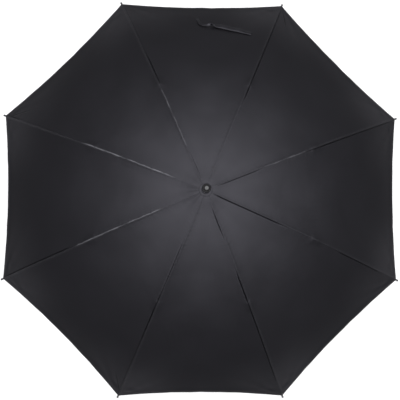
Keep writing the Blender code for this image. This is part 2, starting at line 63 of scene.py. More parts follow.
# The frame, as the CAD has it
RIBS = 8
SECTOR = 2 * math.pi / RIBS
HALF_SECTOR = SECTOR / 2
CROWN_Z = 0.930
PIVOT_RADIUS = 12 * MM
RIB_LENGTH = 750 * MM
RIB_SLOPE_IN = math.radians(15.0)
RIB_SLOPE_OUT = math.radians(45.4)
CURVATURE = (RIB_SLOPE_OUT - RIB_SLOPE_IN) / RIB_LENGTH
RIB_RADIUS = 2.0 * MM
EYE_RADIUS = 2.9 * MM
EYE_THICKNESS = 2.4 * MM
WIRE_HOLE = 1.05 * MM
JOINT_ARC = 355 * MM
JOINT_DROP = 5.5 * MM
RIVET_HOLE = 1.55 * MM
CHANNEL_HALF = 2.8 * MM
CHANNEL_HALF_DEPTH = 2.4 * MM
CHANNEL_WALL = 0.6 * MM
HUB_RADIUS = 15.5 * MM
SEAT_RADIUS = 7.3 * MM
CAP_LENGTH = 21 * MM

# The fabric
CANOPY_END = 735 * MM
FABRIC_LIFT = 2.4 * MM
HEM_CUT = 20 * MM
HEM_WIDTH = 9 * MM
PANEL_SAG = 8 * MM
SEAM_BAND = 5 * MM
DIP_AT = 3.1 * MM
DIP_WIDTH = 1.2 * MM
WEAVE_PITCH = 0.5 * MM
STITCH_PITCH = 3.0 * MM
STRAP_WIDTH = 15 * MM
STRAP_THICKNESS = 0.9 * MM

# The camera of the photographed view
CAMERA_AT = (-0.0862, -0.1589, 3.2669)
CAMERA_TURN = Vector((0.0564, -0.0307, 0.0049))
CAMERA_LENS = 79.9

# The studio. Its light depends on the direction it comes from: on the cosine of the angle to the middle of
# the top light, which is about overhead. It fades from the top light to the walls over one range of that
# cosine, and from nothing to the glow of the floor over another. The camera itself sees the backdrop
TOP_LIGHT_TOWARDS = Vector((0.037, 0.068, 0.997))
TOP_LIGHT = 2.1
WALL_LIGHT = 0.155
TOP_LIGHT_EDGE = (0.33, 0.75)
FLOOR_LIGHT = 0.9
FLOOR_LIGHT_EDGE = (-0.35, -0.8)
BACKDROP = 1.0

rng = np.random.default_rng(11)


def rib_curve(arc, lift=0.0):
    """(radius, height) at a length along a rib, lifted square off it."""
    slope = RIB_SLOPE_IN + CURVATURE * arc
    radius = (np.sin(slope) - math.sin(RIB_SLOPE_IN)) / CURVATURE + lift * np.sin(slope)
    height = (np.cos(slope) - math.cos(RIB_SLOPE_IN)) / CURVATURE + lift * np.cos(slope)
    return PIVOT_RADIUS + radius, CROWN_Z + height


def rib_slope(arc):
    return RIB_SLOPE_IN + CURVATURE * arc


def rib_azimuth(rib):
    return HALF_SECTOR + SECTOR * (rib - 1)


def step(low, high, value):
    """0 below low, 1 above high, smooth between."""
    share = np.clip((value - low) / (high - low), 0, 1)
    return share * share * (3 - 2 * share)


def turns_of(sides, start=0.0):
    """Evenly spaced angles round a circle."""
    return (np.arange(sides) + start) * 2 * math.pi / sides


def lengths(points):
    """How far along their path each of some points lies."""
    return np.concatenate([[0], np.cumsum(np.linalg.norm(np.diff(points, axis=0), axis=1))])


def unit(vectors):
    return vectors / np.maximum(np.linalg.norm(vectors, axis=-1), 1e-12)[..., None]


def mm(*points):
    """Points given in millimetres, in metres."""
    return [tuple(value * MM for value in point) for point in points]


# Materials


class Finish:
    """A Principled material, and short calls for the nodes that vary it."""

    def __init__(self, name, colour, roughness, metallic=0.0, **sockets):
        self.material = bpy.data.materials.new(name)
        self.material.use_nodes = True
        self.tree = self.material.node_tree
        self.shader = self.tree.nodes["Principled BSDF"]
        self.shader.inputs["Base Color"].default_value = (*colour, 1)
        self.shader.inputs["Roughness"].default_value = roughness
        self.shader.inputs["Metallic"].default_value = metallic
        for socket, value in sockets.items():
            self.shader.inputs[socket.replace("_", " ")].default_value = value

    def node(self, kind, inputs=(), **settings):
        made = self.tree.nodes.new("ShaderNode" + kind)
        for setting, value in settings.items():
            setattr(made, setting, value)
        for socket, value in dict(inputs).items():
            self.give(made.inputs[socket], value)
        return made

    def give(self, socket, value):
        if isinstance(value, bpy.types.NodeSocket):
            self.tree.links.new(value, socket)
        else:
            socket.default_value = value

    def sum(self, operation, *values):
        return self.node("Math", dict(enumerate(values)), operation=operation).outputs[0]

    def add(self, *values):
        total = values[0]
        for value in values[1:]:
            total = self.sum("ADD", total, value)
        return total

    def times(self, *values):
        total = values[0]
        for value in values[1:]:
            total = self.sum("MULTIPLY", total, value)
        return total

    def weighted(self, *terms):
        """The sum of (weight, value) pairs and of plain values."""
        return self.add(*(self.times(*term[::-1]) if isinstance(term, tuple) else term for term in terms))

    def wave(self, value, pitch):
        """A sine of half-period pitch."""
        return self.sum("SINE", self.times(value, math.pi / pitch))

    def scaled(self, value, low, high, to_low=0.0, to_high=1.0):
        inputs = {"Value": value, 1: low, 2: high, 3: to_low, 4: to_high}
        return self.node("MapRange", inputs, interpolation_type="SMOOTHSTEP").outputs[0]

    def uv(self, name):
        """(across, along, the vector) of a UV map in metres."""
        vector = self.node("UVMap", uv_map=name).outputs[0]
        parts = self.node("SeparateXYZ", {0: vector}).outputs
        return parts[0], parts[1], vector

    def place(self):
        return self.node("TexCoord").outputs["Object"]

    def noise(self, vector, scale, detail=3.0, roughness=0.55, stretch=(1, 1, 1)):
        """Noise of about 1/scale metres a feature, near 0.5 on average."""
        scaled = self.node("Mapping", {"Vector": vector, "Scale": stretch}).outputs[0]
        inputs = {"Vector": scaled, "Scale": scale, "Detail": detail, "Roughness": roughness}
        return self.node("TexNoise", inputs).outputs[0]

    def cells(self, vector, scale):
        inputs = {"Vector": vector, "Scale": scale}
        return self.node("TexVoronoi", inputs, feature="SMOOTH_F1").outputs[0]

    def mixed(self, share, dark, light):
        made = self.node("Mix", {0: share}, data_type="RGBA")
        for socket, colour in ((6, dark), (7, light)):
            self.give(made.inputs[socket], (*colour, 1) if isinstance(colour, tuple) else colour)
        return made.outputs[2]

    def paint(self, share, dark, light):
        self.give(self.shader.inputs["Base Color"], self.mixed(share, dark, light))

    def rough(self, *terms):
        self.give(self.shader.inputs["Roughness"], self.weighted(*terms))

    def rough_cloth(self, *terms):
        """Cloth doesn't mirror at a glancing angle, as a smooth surface would: its yarns scatter light."""
        facing = self.node("LayerWeight", {"Blend": 0.5}).outputs["Facing"]
        self.rough(*terms, self.scaled(facing, 0.42, 0.85, 0.0, 0.65))

    def raise_by(self, *terms):
        """Bump by the sum of (millimetres, mask) pairs."""
        height = self.weighted(*((depth * MM, mask) for depth, mask in terms))
        made = self.node("Bump", {"Height": height, "Distance": 1.0, "Strength": 1.0})
        self.give(self.shader.inputs["Normal"], made.outputs[0])

    def dashes(self, offset, along, half_width=0.28 * MM, pitch=STITCH_PITCH):
        """A row of stitches where offset is 0: 1 on the thread, 0 off it."""
        line = self.scaled(self.sum("ABSOLUTE", offset), half_width, half_width * 0.4)
        beat = self.sum("ABSOLUTE", self.wave(along, pitch))
        return self.times(line, self.scaled(beat, 0.25, 0.55))


# What every piece of the umbrella's cloth has in common: a faint cool gloss
CLOTH_BLACK = (0.003, 0.003, 0.004)
CLOTH_TINT = (0.90, 0.885, 1.0)
CLOTH_GLOSS = {
    "Specular_IOR_Level": 0.6,
    "Specular_Tint": (*CLOTH_TINT, 1.0),
    "Sheen_Weight": 0.02,
    "Sheen_Roughness": 0.4,
}
STITCH_GREY = (0.03, 0.03, 0.034)


def grey(value, blue=None):
    """A grey, a little bluer if asked."""
    return value, value, blue or value


def fabric_finish():
    """Black pongee: a plain weave with a satin face, sewn seams and a stitched hem."""
    f = Finish("fabric_black", CLOTH_BLACK, 0.35, **CLOTH_GLOSS)
    x, y, cloth = f.uv("cloth")
    seam, hem, _ = f.uv("edge")
    relief, beside_crease, _ = f.uv("relief")
    from_seam, from_hem = f.sum("ABSOLUTE", seam), f.sum("ABSOLUTE", hem)
    weave = f.times(f.wave(x, WEAVE_PITCH), f.wave(y, WEAVE_PITCH))
    slubs = f.noise(cloth, 260, 2, stretch=(1, 0.08, 1))
    clouds = f.noise(cloth, 7, 5)
    folds = f.noise(cloth, 22, 3, stretch=(1, 0.16, 1))
    cross_folds = f.noise(cloth, 9, 2, stretch=(0.5, 1, 1))
    near_seam = f.scaled(from_seam, 0.026, 0.0)
    puckers = f.times(f.noise(cloth, 130, 2, stretch=(0.3, 1, 1)), near_seam)
    near_hem = f.scaled(from_hem, 0.018, 0.006)
    ripples = f.times(f.noise(cloth, 120, 2, stretch=(1, 0.3, 1)), near_hem)
    # Two rows beside each seam, 3 mm apart, and one along the hem
    stitches = f.add(
        f.dashes(f.add(seam, -1.3 * MM), y),
        f.dashes(f.add(seam, -4.3 * MM), y),
        f.dashes(f.add(from_hem, 1.5 * MM - HEM_WIDTH), x),
    )
    # Painted highlight: where a seam stands proud, its crest is painted paler in patches, and a little
    # smoother
    crest = f.scaled(from_seam, 3.4 * MM, 0.6 * MM)
    highlight_patches = f.scaled(f.noise(cloth, 70, 4, stretch=(1, 0.35, 1)), 0.3, 0.62)
    painted_crest_highlight = f.times(crest, f.scaled(relief, 0.1, 1.0), highlight_patches)
    # A short crease runs out of some corners, at a slant to the seam
    crease = f.times(
        f.scaled(f.sum("ABSOLUTE", beside_crease), 4.0 * MM, 0.4 * MM),
        f.scaled(from_hem, 20 * MM, 36 * MM),
        f.scaled(from_hem, 76 * MM, 54 * MM),
    )
    # Painted shade: the gloss is tinted dark in a crease, at the hem's edge, and in the narrow dip beside a
    # sunk seam
    in_dip = f.scaled(f.sum("ABSOLUTE", f.add(seam, DIP_AT)), 2.4 * MM, 0.6 * MM)
    dark = f.times(in_dip, f.scaled(relief, -0.1, -0.8))
    dark = f.sum("MAXIMUM", dark, f.scaled(from_hem, 2.6 * MM, 1.0 * MM, 0.0, 0.75))
    dark = f.sum("MAXIMUM", dark, f.times(crease, 0.9))
    f.give(f.shader.inputs["Specular Tint"], f.mixed(dark, CLOTH_TINT, (0.2, 0.2, 0.22)))
    share = f.weighted((0.7, clouds), (0.12, weave), (0.22, slubs))
    colour = f.mixed(share, (0.0016, 0.0015, 0.0021), (0.0038, 0.0036, 0.0049))
    # The cloth is a little paler towards its corners, and more so anticlockwise of the rib
    to_corner = f.sum("SQRT", f.add(f.times(seam, seam), f.times(hem, hem)))
    pale = f.times(f.scaled(to_corner, 0.2, 0.05), f.scaled(seam, -8 * MM, 8 * MM, 0.5, 1.0))
    colour = f.mixed(pale, colour, (0.0108, 0.0104, 0.0122))
    # The base colour carries the painted highlight along the proud seams, under the stitches
    f.paint(stitches, f.mixed(painted_crest_highlight, colour, (0.12, 0.12, 0.13)), STITCH_GREY)
    f.rough_cloth(0.27, (0.1, clouds), (0.08, slubs), (-0.06, painted_crest_highlight))
    bumps = [(-0.3, crease), (0.012, weave), (0.05, slubs), (0.7, folds), (0.9, cross_folds)]
    f.raise_by(*bumps, (0.5, puckers), (0.5, ripples), (0.22, stitches))
    return f.material


def strap_finish():
    """The same cloth doubled, its edges sewn down and its root sewn in a crossed box."""
    f = Finish("strap_black", CLOTH_BLACK, 0.4, **CLOTH_GLOSS)
    x, y, cloth = f.uv("cloth")
    from_edge = f.weighted(STRAP_WIDTH / 2, (-1, f.sum("ABSOLUTE", x)))
    weave = f.times(f.wave(x, WEAVE_PITCH), f.wave(y, WEAVE_PITCH))
    clouds = f.noise(cloth, 35, 4)
    creases = f.noise(cloth, 60, 3, stretch=(0.4, 1, 1))
    box_start, box_end = 3 * MM, 17 * MM
    in_box = f.scaled(y, box_end + 0.3 * MM, box_end)
    slant = f.times(f.add(y, -box_end / 2), 0.8)

    def row(offset, along):
        return f.dashes(offset, along, 0.24 * MM, 2.4 * MM)

    stitches = f.add(
        row(f.add(from_edge, -1.6 * MM), y),
        row(f.add(y, -box_end), x),
        row(f.add(y, -box_start), x),
        f.times(row(f.add(x, slant), y), in_box),
        f.times(row(f.weighted(x, (-1, slant)), y), in_box),
    )
    share = f.weighted((0.8, clouds), (0.15, weave), -0.1)
    colour = f.mixed(share, (0.0022, 0.0021, 0.0028), (0.006, 0.0058, 0.0074))
    f.paint(stitches, colour, STITCH_GREY)
    f.rough_cloth(0.3, (0.14, clouds))
    f.raise_by((0.014, weave), (0.6, creases), (0.2, stitches))
    return f.material


def felt_finish():
    """The washer of doubled cloth under the ferrule."""
    f = Finish("rosette_black", CLOTH_BLACK, 0.4, **CLOTH_GLOSS)
    place = f.place()
    fibres = f.noise(place, 1500, 3)
    clouds = f.noise(place, 120, 3)
    f.paint(f.weighted((0.5, fibres), (0.5, clouds)), (0.0018, 0.0017, 0.0024), (0.005, 0.0048, 0.0064))
    f.rough_cloth(0.3, (0.15, fibres))
    f.raise_by((0.04, fibres), (0.3, clouds))
    return f.material


def thread_finish():
    f = Finish("thread_black", (0.02, 0.02, 0.022), 0.6, Sheen_Weight=0.2)
    x, y, thread = f.uv("cloth")
    twist = f.wave(f.weighted((1.4, x), y), 0.35 * MM)
    fuzz = f.noise(thread, 2500, 2)
    f.paint(f.weighted((0.3, twist), (0.6, fuzz)), grey(0.012, 0.013), grey(0.045, 0.05))
    f.rough(0.5, (0.2, fuzz))
    f.raise_by((0.04, twist))
    return f.material


def rod_finish():
    """Pultruded glass-fibre rod under a satin black lacquer: faint fibres along it, and rub marks."""
    f = Finish("rib_black", (0.012, 0.012, 0.013), 0.3, Coat_Weight=0.25, Coat_Roughness=0.15)
    _, _, rod = f.uv("cloth")
    fibres = f.noise(rod, 900, 4, stretch=(1, 0.03, 1))
    patches = f.noise(rod, 45, 4)
    rub = f.scaled(f.noise(rod, 420, 3, stretch=(1, 0.12, 1)), 0.62, 0.74)
    share = f.weighted((0.35, fibres), (0.25, patches), (0.25, rub))
    f.paint(share, grey(0.006, 0.007), grey(0.03, 0.031))
    f.rough(0.22, (0.14, fibres), (0.18, rub))
    f.raise_by((0.012, fibres), (0.02, patches))
    return f.material


def strip_finish():
    """Steel strip blackened and lacquered, worn to the metal along its lips."""
    f = Finish("strip_black", (0.02, 0.02, 0.022), 0.36)
    x, _, strip = f.uv("cloth")
    streaks = f.noise(strip, 1100, 4, stretch=(1, 0.035, 1))
    patches = f.noise(strip, 60, 4)
    lips = f.scaled(f.sum("ABSOLUTE", x), 0.55 * MM, 0.15 * MM)
    chips = f.scaled(f.noise(strip, 500, 5, stretch=(1, 0.4, 1)), 0.53, 0.62)
    scratches = f.scaled(f.noise(strip, 1700, 2, stretch=(1, 0.02, 1)), 0.70, 0.76)
    worn = f.sum("MAXIMUM", f.times(lips, chips), f.times(scratches, 0.5))
    share = f.weighted((0.6, streaks), (0.4, patches))
    f.paint(worn, f.mixed(share, grey(0.010, 0.011), grey(0.028, 0.030)), grey(0.33, 0.34))
    f.give(f.shader.inputs["Metallic"], f.times(worn, 0.9))
    f.rough(0.26, (0.2, streaks), (0.06, worn))
    f.raise_by((0.01, streaks), (-0.02, worn), (0.02, patches))
    return f.material


def steel_finish(name, tone):
    """Bright drawn steel, with hairlines and a little tarnish."""
    f = Finish(name, grey(tone), 0.28, 1.0)
    place = f.place()
    hairlines = f.noise(place, 2600, 3, stretch=(1, 1, 0.1))
    tarnish = f.noise(place, 260, 4)
    share = f.weighted((0.4, hairlines), (0.6, tarnish))
    f.paint(share, (tone * 0.62, tone * 0.6, tone * 0.58), grey(tone))
    f.rough(0.16, (0.16, hairlines), (0.14, tarnish))
    f.raise_by((0.006, hairlines))
    return f.material


def moulded_finish(name, tone, rough, grain):
    """Moulded black plastic with a fine spark-eroded grain (in mm), smoother in patches."""
    f = Finish(name, grey(tone), rough)
    place = f.place()
    texture = f.noise(place, 2200, 2)
    flow = f.noise(place, 140, 4)
    share = f.weighted((0.4, texture), (0.5, flow))
    f.paint(share, grey(tone * 0.55, tone * 0.58), grey(tone * 1.4, tone * 1.45))
    f.rough(rough - 0.05, (0.16, texture), (-0.12, f.scaled(flow, 0.5, 0.68)))
    f.raise_by((grain, texture), (0.02, flow))
    return f.material


def gloss_finish():
    """Polished black plastic: handling marks in the gloss, and fine wiping scratches."""
    gloss = {"Coat_Weight": 0.5, "Coat_Roughness": 0.04, "Specular_IOR_Level": 0.85}
    f = Finish("gloss_black", grey(0.006, 0.0065), 0.1, **gloss)
    place = f.place()
    smudges = f.noise(place, 190, 5)
    wipes = f.scaled(f.noise(place, 1500, 2, stretch=(0.08, 1, 1)), 0.6, 0.75)
    f.paint(smudges, grey(0.004, 0.0045), grey(0.011, 0.012))
    f.rough(0.05, (0.14, smudges), (0.12, wipes))
    f.raise_by((-0.002, wipes), (0.01, smudges))
    return f.material


def tube_finish():
    """The shaft: black lacquered steel tube, with lines rubbed along it by the runner."""
    f = Finish("shaft_black", grey(0.012, 0.013), 0.22, Coat_Weight=0.3, Coat_Roughness=0.12)
    place = f.place()
    lines = f.noise(place, 1500, 3, stretch=(1, 1, 0.006))
    patches = f.noise(place, 50, 4)
    rub = f.scaled(lines, 0.6, 0.72)
    f.paint(f.weighted((0.5, rub), (0.35, patches)), grey(0.006, 0.007), grey(0.045, 0.047))
    f.rough(0.16, (0.2, rub), (0.08, patches))
    f.raise_by((0.004, lines), (0.015, patches))
    return f.material


def foam_finish():
    """Closed-cell foam of the grip: fine pores, a soft bloom, and broad uneven patches."""
    f = Finish("grip_black", grey(0.022), 0.8, Sheen_Weight=0.15, Sheen_Roughness=0.5)
    place = f.place()
    pores = f.cells(place, 1150)
    grain = f.noise(place, 2600, 3)
    patches = f.noise(place, 22, 3)
    f.paint(f.weighted((0.5, pores), (0.5, patches), (0.2, grain)), grey(0.009), grey(0.034))
    f.rough(0.6, (0.2, grain), (0.12, patches))
    f.raise_by((0.09, pores), (0.05, grain), (0.3, patches))
    return f.material


def floor_finish():
    """Pale and matt, with a faint glow. It is only there from above, so that a view from below can be had."""
    f = Finish("studio_floor", grey(0.9), 0.75, Emission_Color=(1, 1, 1, 1), Emission_Strength=0.12)
    f.paint(f.noise(f.place(), 1.6, 3), grey(0.88), grey(0.92))
    clear = f.node("BsdfTransparent").outputs[0]
    below = f.node("NewGeometry").outputs["Backfacing"]
    mix = f.node("MixShader", {0: below, 1: f.shader.outputs[0], 2: clear})
    f.tree.links.new(mix.outputs[0], f.tree.nodes["Material Output"].inputs["Surface"])
    return f.material


# Meshes


def grid_object(name, points, material, maps=None, closed=False, normals=None):
    """A sheet of quads over a grid of points, or a tube if its columns close.

    maps holds UV values in metres, one a point, with one more column than the points on a tube."""
    rows, columns = points.shape[:2]
    index = np.arange(rows * columns).reshape(rows, columns)
    wide = np.hstack([index, index[:, :1]]) if closed else index
    span = wide.shape[1]
    corner = np.arange(rows * span).reshape(rows, span)

    def quads(of):
        return np.stack([of[:-1, :-1], of[1:, :-1], of[1:, 1:], of[:-1, 1:]], -1).reshape(-1, 4)

    mesh = bpy.data.meshes.new(name)
    mesh.from_pydata(points.reshape(-1, 3).tolist(), [], quads(wide).tolist())
    for map_name, values in (maps or {}).items():
        layer = mesh.uv_layers.new(name=map_name)
        layer.uv.foreach_set("vector", values.reshape(-1, 2)[quads(corner).ravel()].ravel())
    mesh.materials.append(material)
    mesh.shade_smooth()
    if normals is not None:
        mesh.normals_split_custom_set_from_vertices(normals.reshape(-1, 3).tolist())
    return linked(name, mesh)


def linked(name, mesh):
    obj = bpy.data.objects.new(name, mesh)
    bpy.context.scene.collection.objects.link(obj)
    return obj


@contextmanager
def edited(mesh):
    """Opens a mesh for editing, and writes it back smooth."""
    bm = bmesh.new()
    bm.from_mesh(mesh)
    yield bm
    bm.to_mesh(mesh)
    bm.free()
    mesh.shade_smooth()


def welded(obj, caps=False):
    """Closes an object's open ends, if asked, and joins doubled points."""
    with edited(obj.data) as bm:
        bmesh.ops.remove_doubles(bm, verts=bm.verts, dist=1e-6)
        bmesh.ops.dissolve_degenerate(bm, edges=bm.edges, dist=1e-7)
        if caps:
            bmesh.ops.holes_fill(bm, edges=[e for e in bm.edges if e.is_boundary], sides=0)
        bmesh.ops.recalc_face_normals(bm, faces=bm.faces)
    return obj


def evened(obj, bevel=0.0, angle=40.0):
    """Rounds the sharp edges and keeps flat faces flat."""
    if bevel:
        rounding = obj.modifiers.new("rounding", "BEVEL")
        rounding.width = bevel
        rounding.segments = 2
        rounding.limit_method = "ANGLE"
        rounding.angle_limit = math.radians(angle)
    obj.modifiers.new("even_normals", "WEIGHTED_NORMAL")
    return obj


def softened(outline, radius, steps=3, closed=True):
    """An outline of points with each of its corners rounded off."""
    points = [Vector(p) for p in outline]
    result = []
    for number, point in enumerate(points):
        if not closed and number in (0, len(points) - 1):
            result.append(point)
            continue
        before, after = points[number - 1], points[(number + 1) % len(points)]
        reach = min(radius, (before - point).length * 0.45, (after - point).length * 0.45)
        start = point + (before - point).normalized() * reach
        end = point + (after - point).normalized() * reach
        for t in (part / steps for part in range(steps + 1)):
            result.append(start * (1 - t) ** 2 + point * 2 * t * (1 - t) + end * t**2)
    return [tuple(p) for p in result]


def lathe(name, outline, material, sides=96, closed=True):
    """Turns (radius, height) points about Z."""
    ring = np.array([*outline, outline[0]] if closed else outline, float)
    turns = turns_of(sides)
    radius, height = ring[:, :1], ring[:, 1:]
    points = np.stack([radius * np.cos(turns), radius * np.sin(turns), height + 0 * turns], -1)
    along = lengths(ring)
    around = np.append(turns, 2 * math.pi)
    maps = {"cloth": np.stack([radius * around, along[:, None] + 0 * around], -1)}
    return welded(grid_object(name, points, material, maps, closed=True))


def swept(name, path, sections, material, side_hint=(0, 1, 0)):
    """Carries closed sections of (side, top) points along a path.

    Each section's side axis starts square to the path, nearest to side_hint, and turns with it."""
    path = np.asarray(path, float)
    ahead = unit(np.gradient(path, axis=0))
    side = np.array(side_hint, float)
    rings = []
    for point, forward, section in zip(path, ahead, sections):
        side = side - forward * side.dot(forward)
        side /= np.linalg.norm(side)
        top = np.cross(side, forward)
        rings.append(point + section[:, :1] * side + section[:, 1:] * top)
    points = np.array(rings)
    along = lengths(path)
    around = np.array([lengths(np.vstack([section, section[:1]])) for section in sections])
    maps = {"cloth": np.stack([around, along[:, None] + 0 * around], -1)}
    return welded(grid_object(name, points, material, maps, closed=True), caps=True)


def circle(radius, sides=12):
    turns = turns_of(sides)
    return np.stack([radius * np.cos(turns), radius * np.sin(turns)], -1)


def eye_plate(name, length, radius, half_root, hole, thickness, material, sides=32):
    """A plate in X-Z with a round end about the origin, a hole there, and a square root out along X."""
    turns = turns_of(sides, 0.5)
    cos, sin = np.cos(turns), np.sin(turns)
    rim = np.stack([radius * cos, radius * sin], -1)
    root_side = cos > 0
    reach = np.minimum(length / np.maximum(cos, 1e-6), half_root / np.maximum(np.abs(sin), 1e-6))
    rim[root_side] = (np.stack([cos, sin], -1) * reach[:, None])[root_side]
    bore = np.stack([hole * cos, hole * sin], -1)
    half = thickness / 2
    edge = min(0.25 * MM, half * 0.5)
    inset = 1 - edge / np.linalg.norm(rim, axis=1)[:, None]
    outset = 1 + edge / hole
    rings = [
        (bore, half - edge),
        (bore * outset, half),
        (rim * inset, half),
        (rim, half - edge),
        (rim, edge - half),
        (rim * inset, -half),
        (bore * outset, -half),
        (bore, edge - half),
        (bore, half - edge),
    ]
    points = np.array([np.stack([ring[:, 0], 0 * sin + y, ring[:, 1]], -1) for ring, y in rings])
    flat = points[..., [0, 2]]
    maps = {"cloth": np.concatenate([flat, flat[:, :1]], 1)}
    return welded(grid_object(name, points, material, maps, closed=True))


def moved(obj, pitch=0.0, yaw=0.0, at=(0, 0, 0)):
    """Turned down by pitch, then round by yaw, then moved, in the mesh itself."""
    turn = Matrix.Rotation(yaw, 4, "Z") @ Matrix.Rotation(pitch, 4, "Y")
    obj.data.transform(Matrix.Translation(at) @ turn)
    return obj


def joined(name, *objects):
    """One object out of several, which go."""
    mesh = objects[0].data.copy()
    mesh.name = name
    with edited(mesh) as bm:
        for obj in objects[1:]:
            bm.from_mesh(obj.data)
    for obj in objects:
        bpy.data.objects.remove(obj)
    return linked(name, mesh)


def cut(obj, tools):
    """Cuts the tools out of an object, for good."""
    for tool in tools:
        modifier = obj.modifiers.new("cut", "BOOLEAN")
        modifier.operation = "DIFFERENCE"
        modifier.object = tool
    mesh = bpy.data.meshes.new_from_object(obj.evaluated_get(bpy.context.evaluated_depsgraph_get()))
    obj.modifiers.clear()
    obj.data = mesh
    for tool in tools:
        bpy.data.objects.remove(tool)
    return obj


def block(low, high, yaw):
    """A box between two corners, turned about Z, to cut with."""
    low, high = Vector(low), Vector(high)
    mesh = bpy.data.meshes.new("tool")
    with edited(mesh) as bm:
        bmesh.ops.create_cube(bm, size=1)
        bmesh.ops.scale(bm, verts=bm.verts, vec=high - low)
        bmesh.ops.translate(bm, verts=bm.verts, vec=(high + low) / 2)
    return moved(linked("tool", mesh), yaw=yaw)


# Canopy


def canopy_arcs():
    """Where the rows of the canopy cross a rib: close together at the crown, the joint and the hem."""
    stretches = [(1.5, 3), (40, 14), (325, 4), (385, 14), (690, 5), (735, 0)]
    arcs = []
    for (start, pace), (end, _) in zip(stretches, stretches[1:]):
        arcs += list(np.linspace(start, end, round((end - start) / pace), endpoint=False))
    return np.array([*arcs, stretches[-1][0]]) * MM


def half_width(arc):
    """Half a panel's width, from its mid-line to its seam."""
    return rib_curve(arc, FABRIC_LIFT)[0] * math.sin(HALF_SECTOR)


def seam_distances(width):
    """Each row's columns, as distances from the seam: fixed ones by the seam, then out to the mid-line."""
    near = np.array([0, 0.4, 0.8, 1.3, 1.9, 2.4, 2.9, 3.4, 4.0, 4.6, 5.0, 5.4, 7.0, 10.0]) * MM
    squeeze = np.minimum(1, 0.5 * width / near[-1])[:, None]
    close = near * squeeze
    share = (np.arange(1, 10) / 9) ** 1.15
    far = close[:, -1:] + (width[:, None] - close[:, -1:]) * share
    return np.hstack([close, far]), squeeze


class Panel:
    """The small ways in which one panel's cloth differs from the next."""

    def __init__(self):
        self.sag = PANEL_SAG * rng.uniform(0.85, 1.15)
        self.lean = rng.uniform(-0.12, 0.12)
        self.phase = rng.uniform(0, 2 * math.pi, 6)
        self.strength = rng.uniform(0.6, 1.2, 6)

    def drop(self, arc, q):
        """How far the cloth hangs below the straight line between its ribs."""
        along = np.sin(math.pi * np.clip(arc / CANOPY_END, 0, 1)) ** 1.5
        return self.sag * along * (1 - q * q) * (1 + self.lean * q)

    def hem(self, q):
        """How far short of the ribs' line the hem is cut."""
        wave = np.sin(5 * math.pi * q + self.phase[0]) * 0.6 * MM * (1 - q * q)
        return HEM_CUT * (1 - q * q) + wave

    def wrinkles(self, arc, distance, q):
        """Low folds: across the middle, and fanning out of the two corners."""
        inside = (1 - q * q) ** 2
        broad = np.sin(2 * math.pi * arc / 0.31 + self.phase[1]) * np.sin(math.pi * q + self.phase[2])
        corner = np.hypot(CANOPY_END - arc, distance)
        turn = np.arctan2(distance, np.maximum(CANOPY_END - arc, 1e-6))
        which = np.where(q < 0, 3, 4)
        fan = np.sin(12 * turn + self.phase[which]) * self.strength[which]
        fan = fan * np.sin(2 * np.clip(turn, 0, math.pi / 2)) * step(0, 0.02, distance)
        fan = fan * 1.5 * MM * np.exp(-corner / 0.06) * step(0.002, 0.03, corner)
        flutter = np.sin(7 * math.pi * q + self.phase[5]) * np.exp(-(CANOPY_END - arc) / 0.045)
        return (0.9 * MM * broad + 0.7 * MM * flutter) * inside + fan


panels = [Panel() for _ in range(RIBS)]


# How each seam lies along its rib: (from, to, relief), in metres along the rib. Above 0 it is drawn up
# proud with a painted highlight along its crest, and below 0 it is sunk beside the rib with painted shade in
# the dip. Each end of a stretch fades over SEAM_FADE
SEAM_FADE = 0.03
SEAM_RELIEF = {
    1: [(0.03, 0.165, -0.4), (0.165, 0.33, 0.5), (0.33, 0.70, -0.9)],
    2: [(0.30, 0.70, -0.9)],
    3: [(0.03, 0.10, -0.2), (0.12, 0.335, 0.5), (0.345, 0.46, -0.9), (0.46, 0.72, -0.3)],
    4: [(0.09, 0.38, 1.0), (0.44, 0.64, -0.3), (0.665, 0.71, -0.9)],
    5: [(0.12, 0.41, 0.7), (0.44, 0.72, -1.0)],
    6: [(0.16, 0.33, -0.3), (0.33, 0.46, -0.9), (0.46, 0.70, -0.5)],
    7: [(0.05, 0.12, -0.5), (0.25, 0.66, -0.9)],
    8: [(0.01, 0.23, -0.6), (0.45, 0.64, -0.9)],
}

# Creases in some corners, beside the seam of these ribs on its clockwise side: how far in from the tip each
# line meets the seam, and its slope away from it. NOWHERE is an offset too large to show
CREASES = {2: (2 * MM, 0.52), 4: (21 * MM, 0.80), 6: (20 * MM, 0.66)}
NOWHERE = 10.0


def seam_relief(rib, arc):
    total = 0 * arc
    for start, end, relief in SEAM_RELIEF[rib]:
        begun = step(start - SEAM_FADE, start + SEAM_FADE, arc)
        total = total + relief * begun * (1 - step(end - SEAM_FADE, end + SEAM_FADE, arc))
    return total


def cloth_lift(arc, distance, squeeze, allowance, relief):
    """How high the cloth runs over the line of its rib: over the crown's edge, over the crimped joint,
    over the tip's cap, and over the seam allowance, which lies to one side of the seam."""
    lift = FABRIC_LIFT + 3.8 * MM * np.exp(-((arc / 0.038) ** 2))
    sleeve = 1 - step(9 * MM, 24 * MM, np.abs(arc - JOINT_ARC))
    lift = lift + 0.9 * MM * sleeve * np.exp(-((distance / 0.011) ** 2))
    lift = lift + 1.15 * MM * step(0.690, 0.726, arc)
    reach = distance / squeeze
    if allowance:
        band = 1 - step(SEAM_BAND - 0.9 * MM, SEAM_BAND + 0.9 * MM, reach)
    else:
        band = 1 - step(0, 1.3 * MM, reach)
    crest = 1 - step(0.6 * MM, 3.2 * MM, reach)
    groove = 1 - step(0, 1.5 * MM, reach)
    dip = np.exp(-(((reach - DIP_AT) / DIP_WIDTH) ** 2)) * (1 - 0.85 * sleeve)
    proud, sunk = np.maximum(relief, 0), np.maximum(-relief, 0)
    depth = 0.5 if allowance else 2.6
    flat = 0.25 + 0.75 * step(0.04, 0.2, arc)
    raised = (0.24 * band - 0.12 * groove) * flat + 0.5 * proud * crest - depth * sunk * dip
    return lift + raised * MM * squeeze


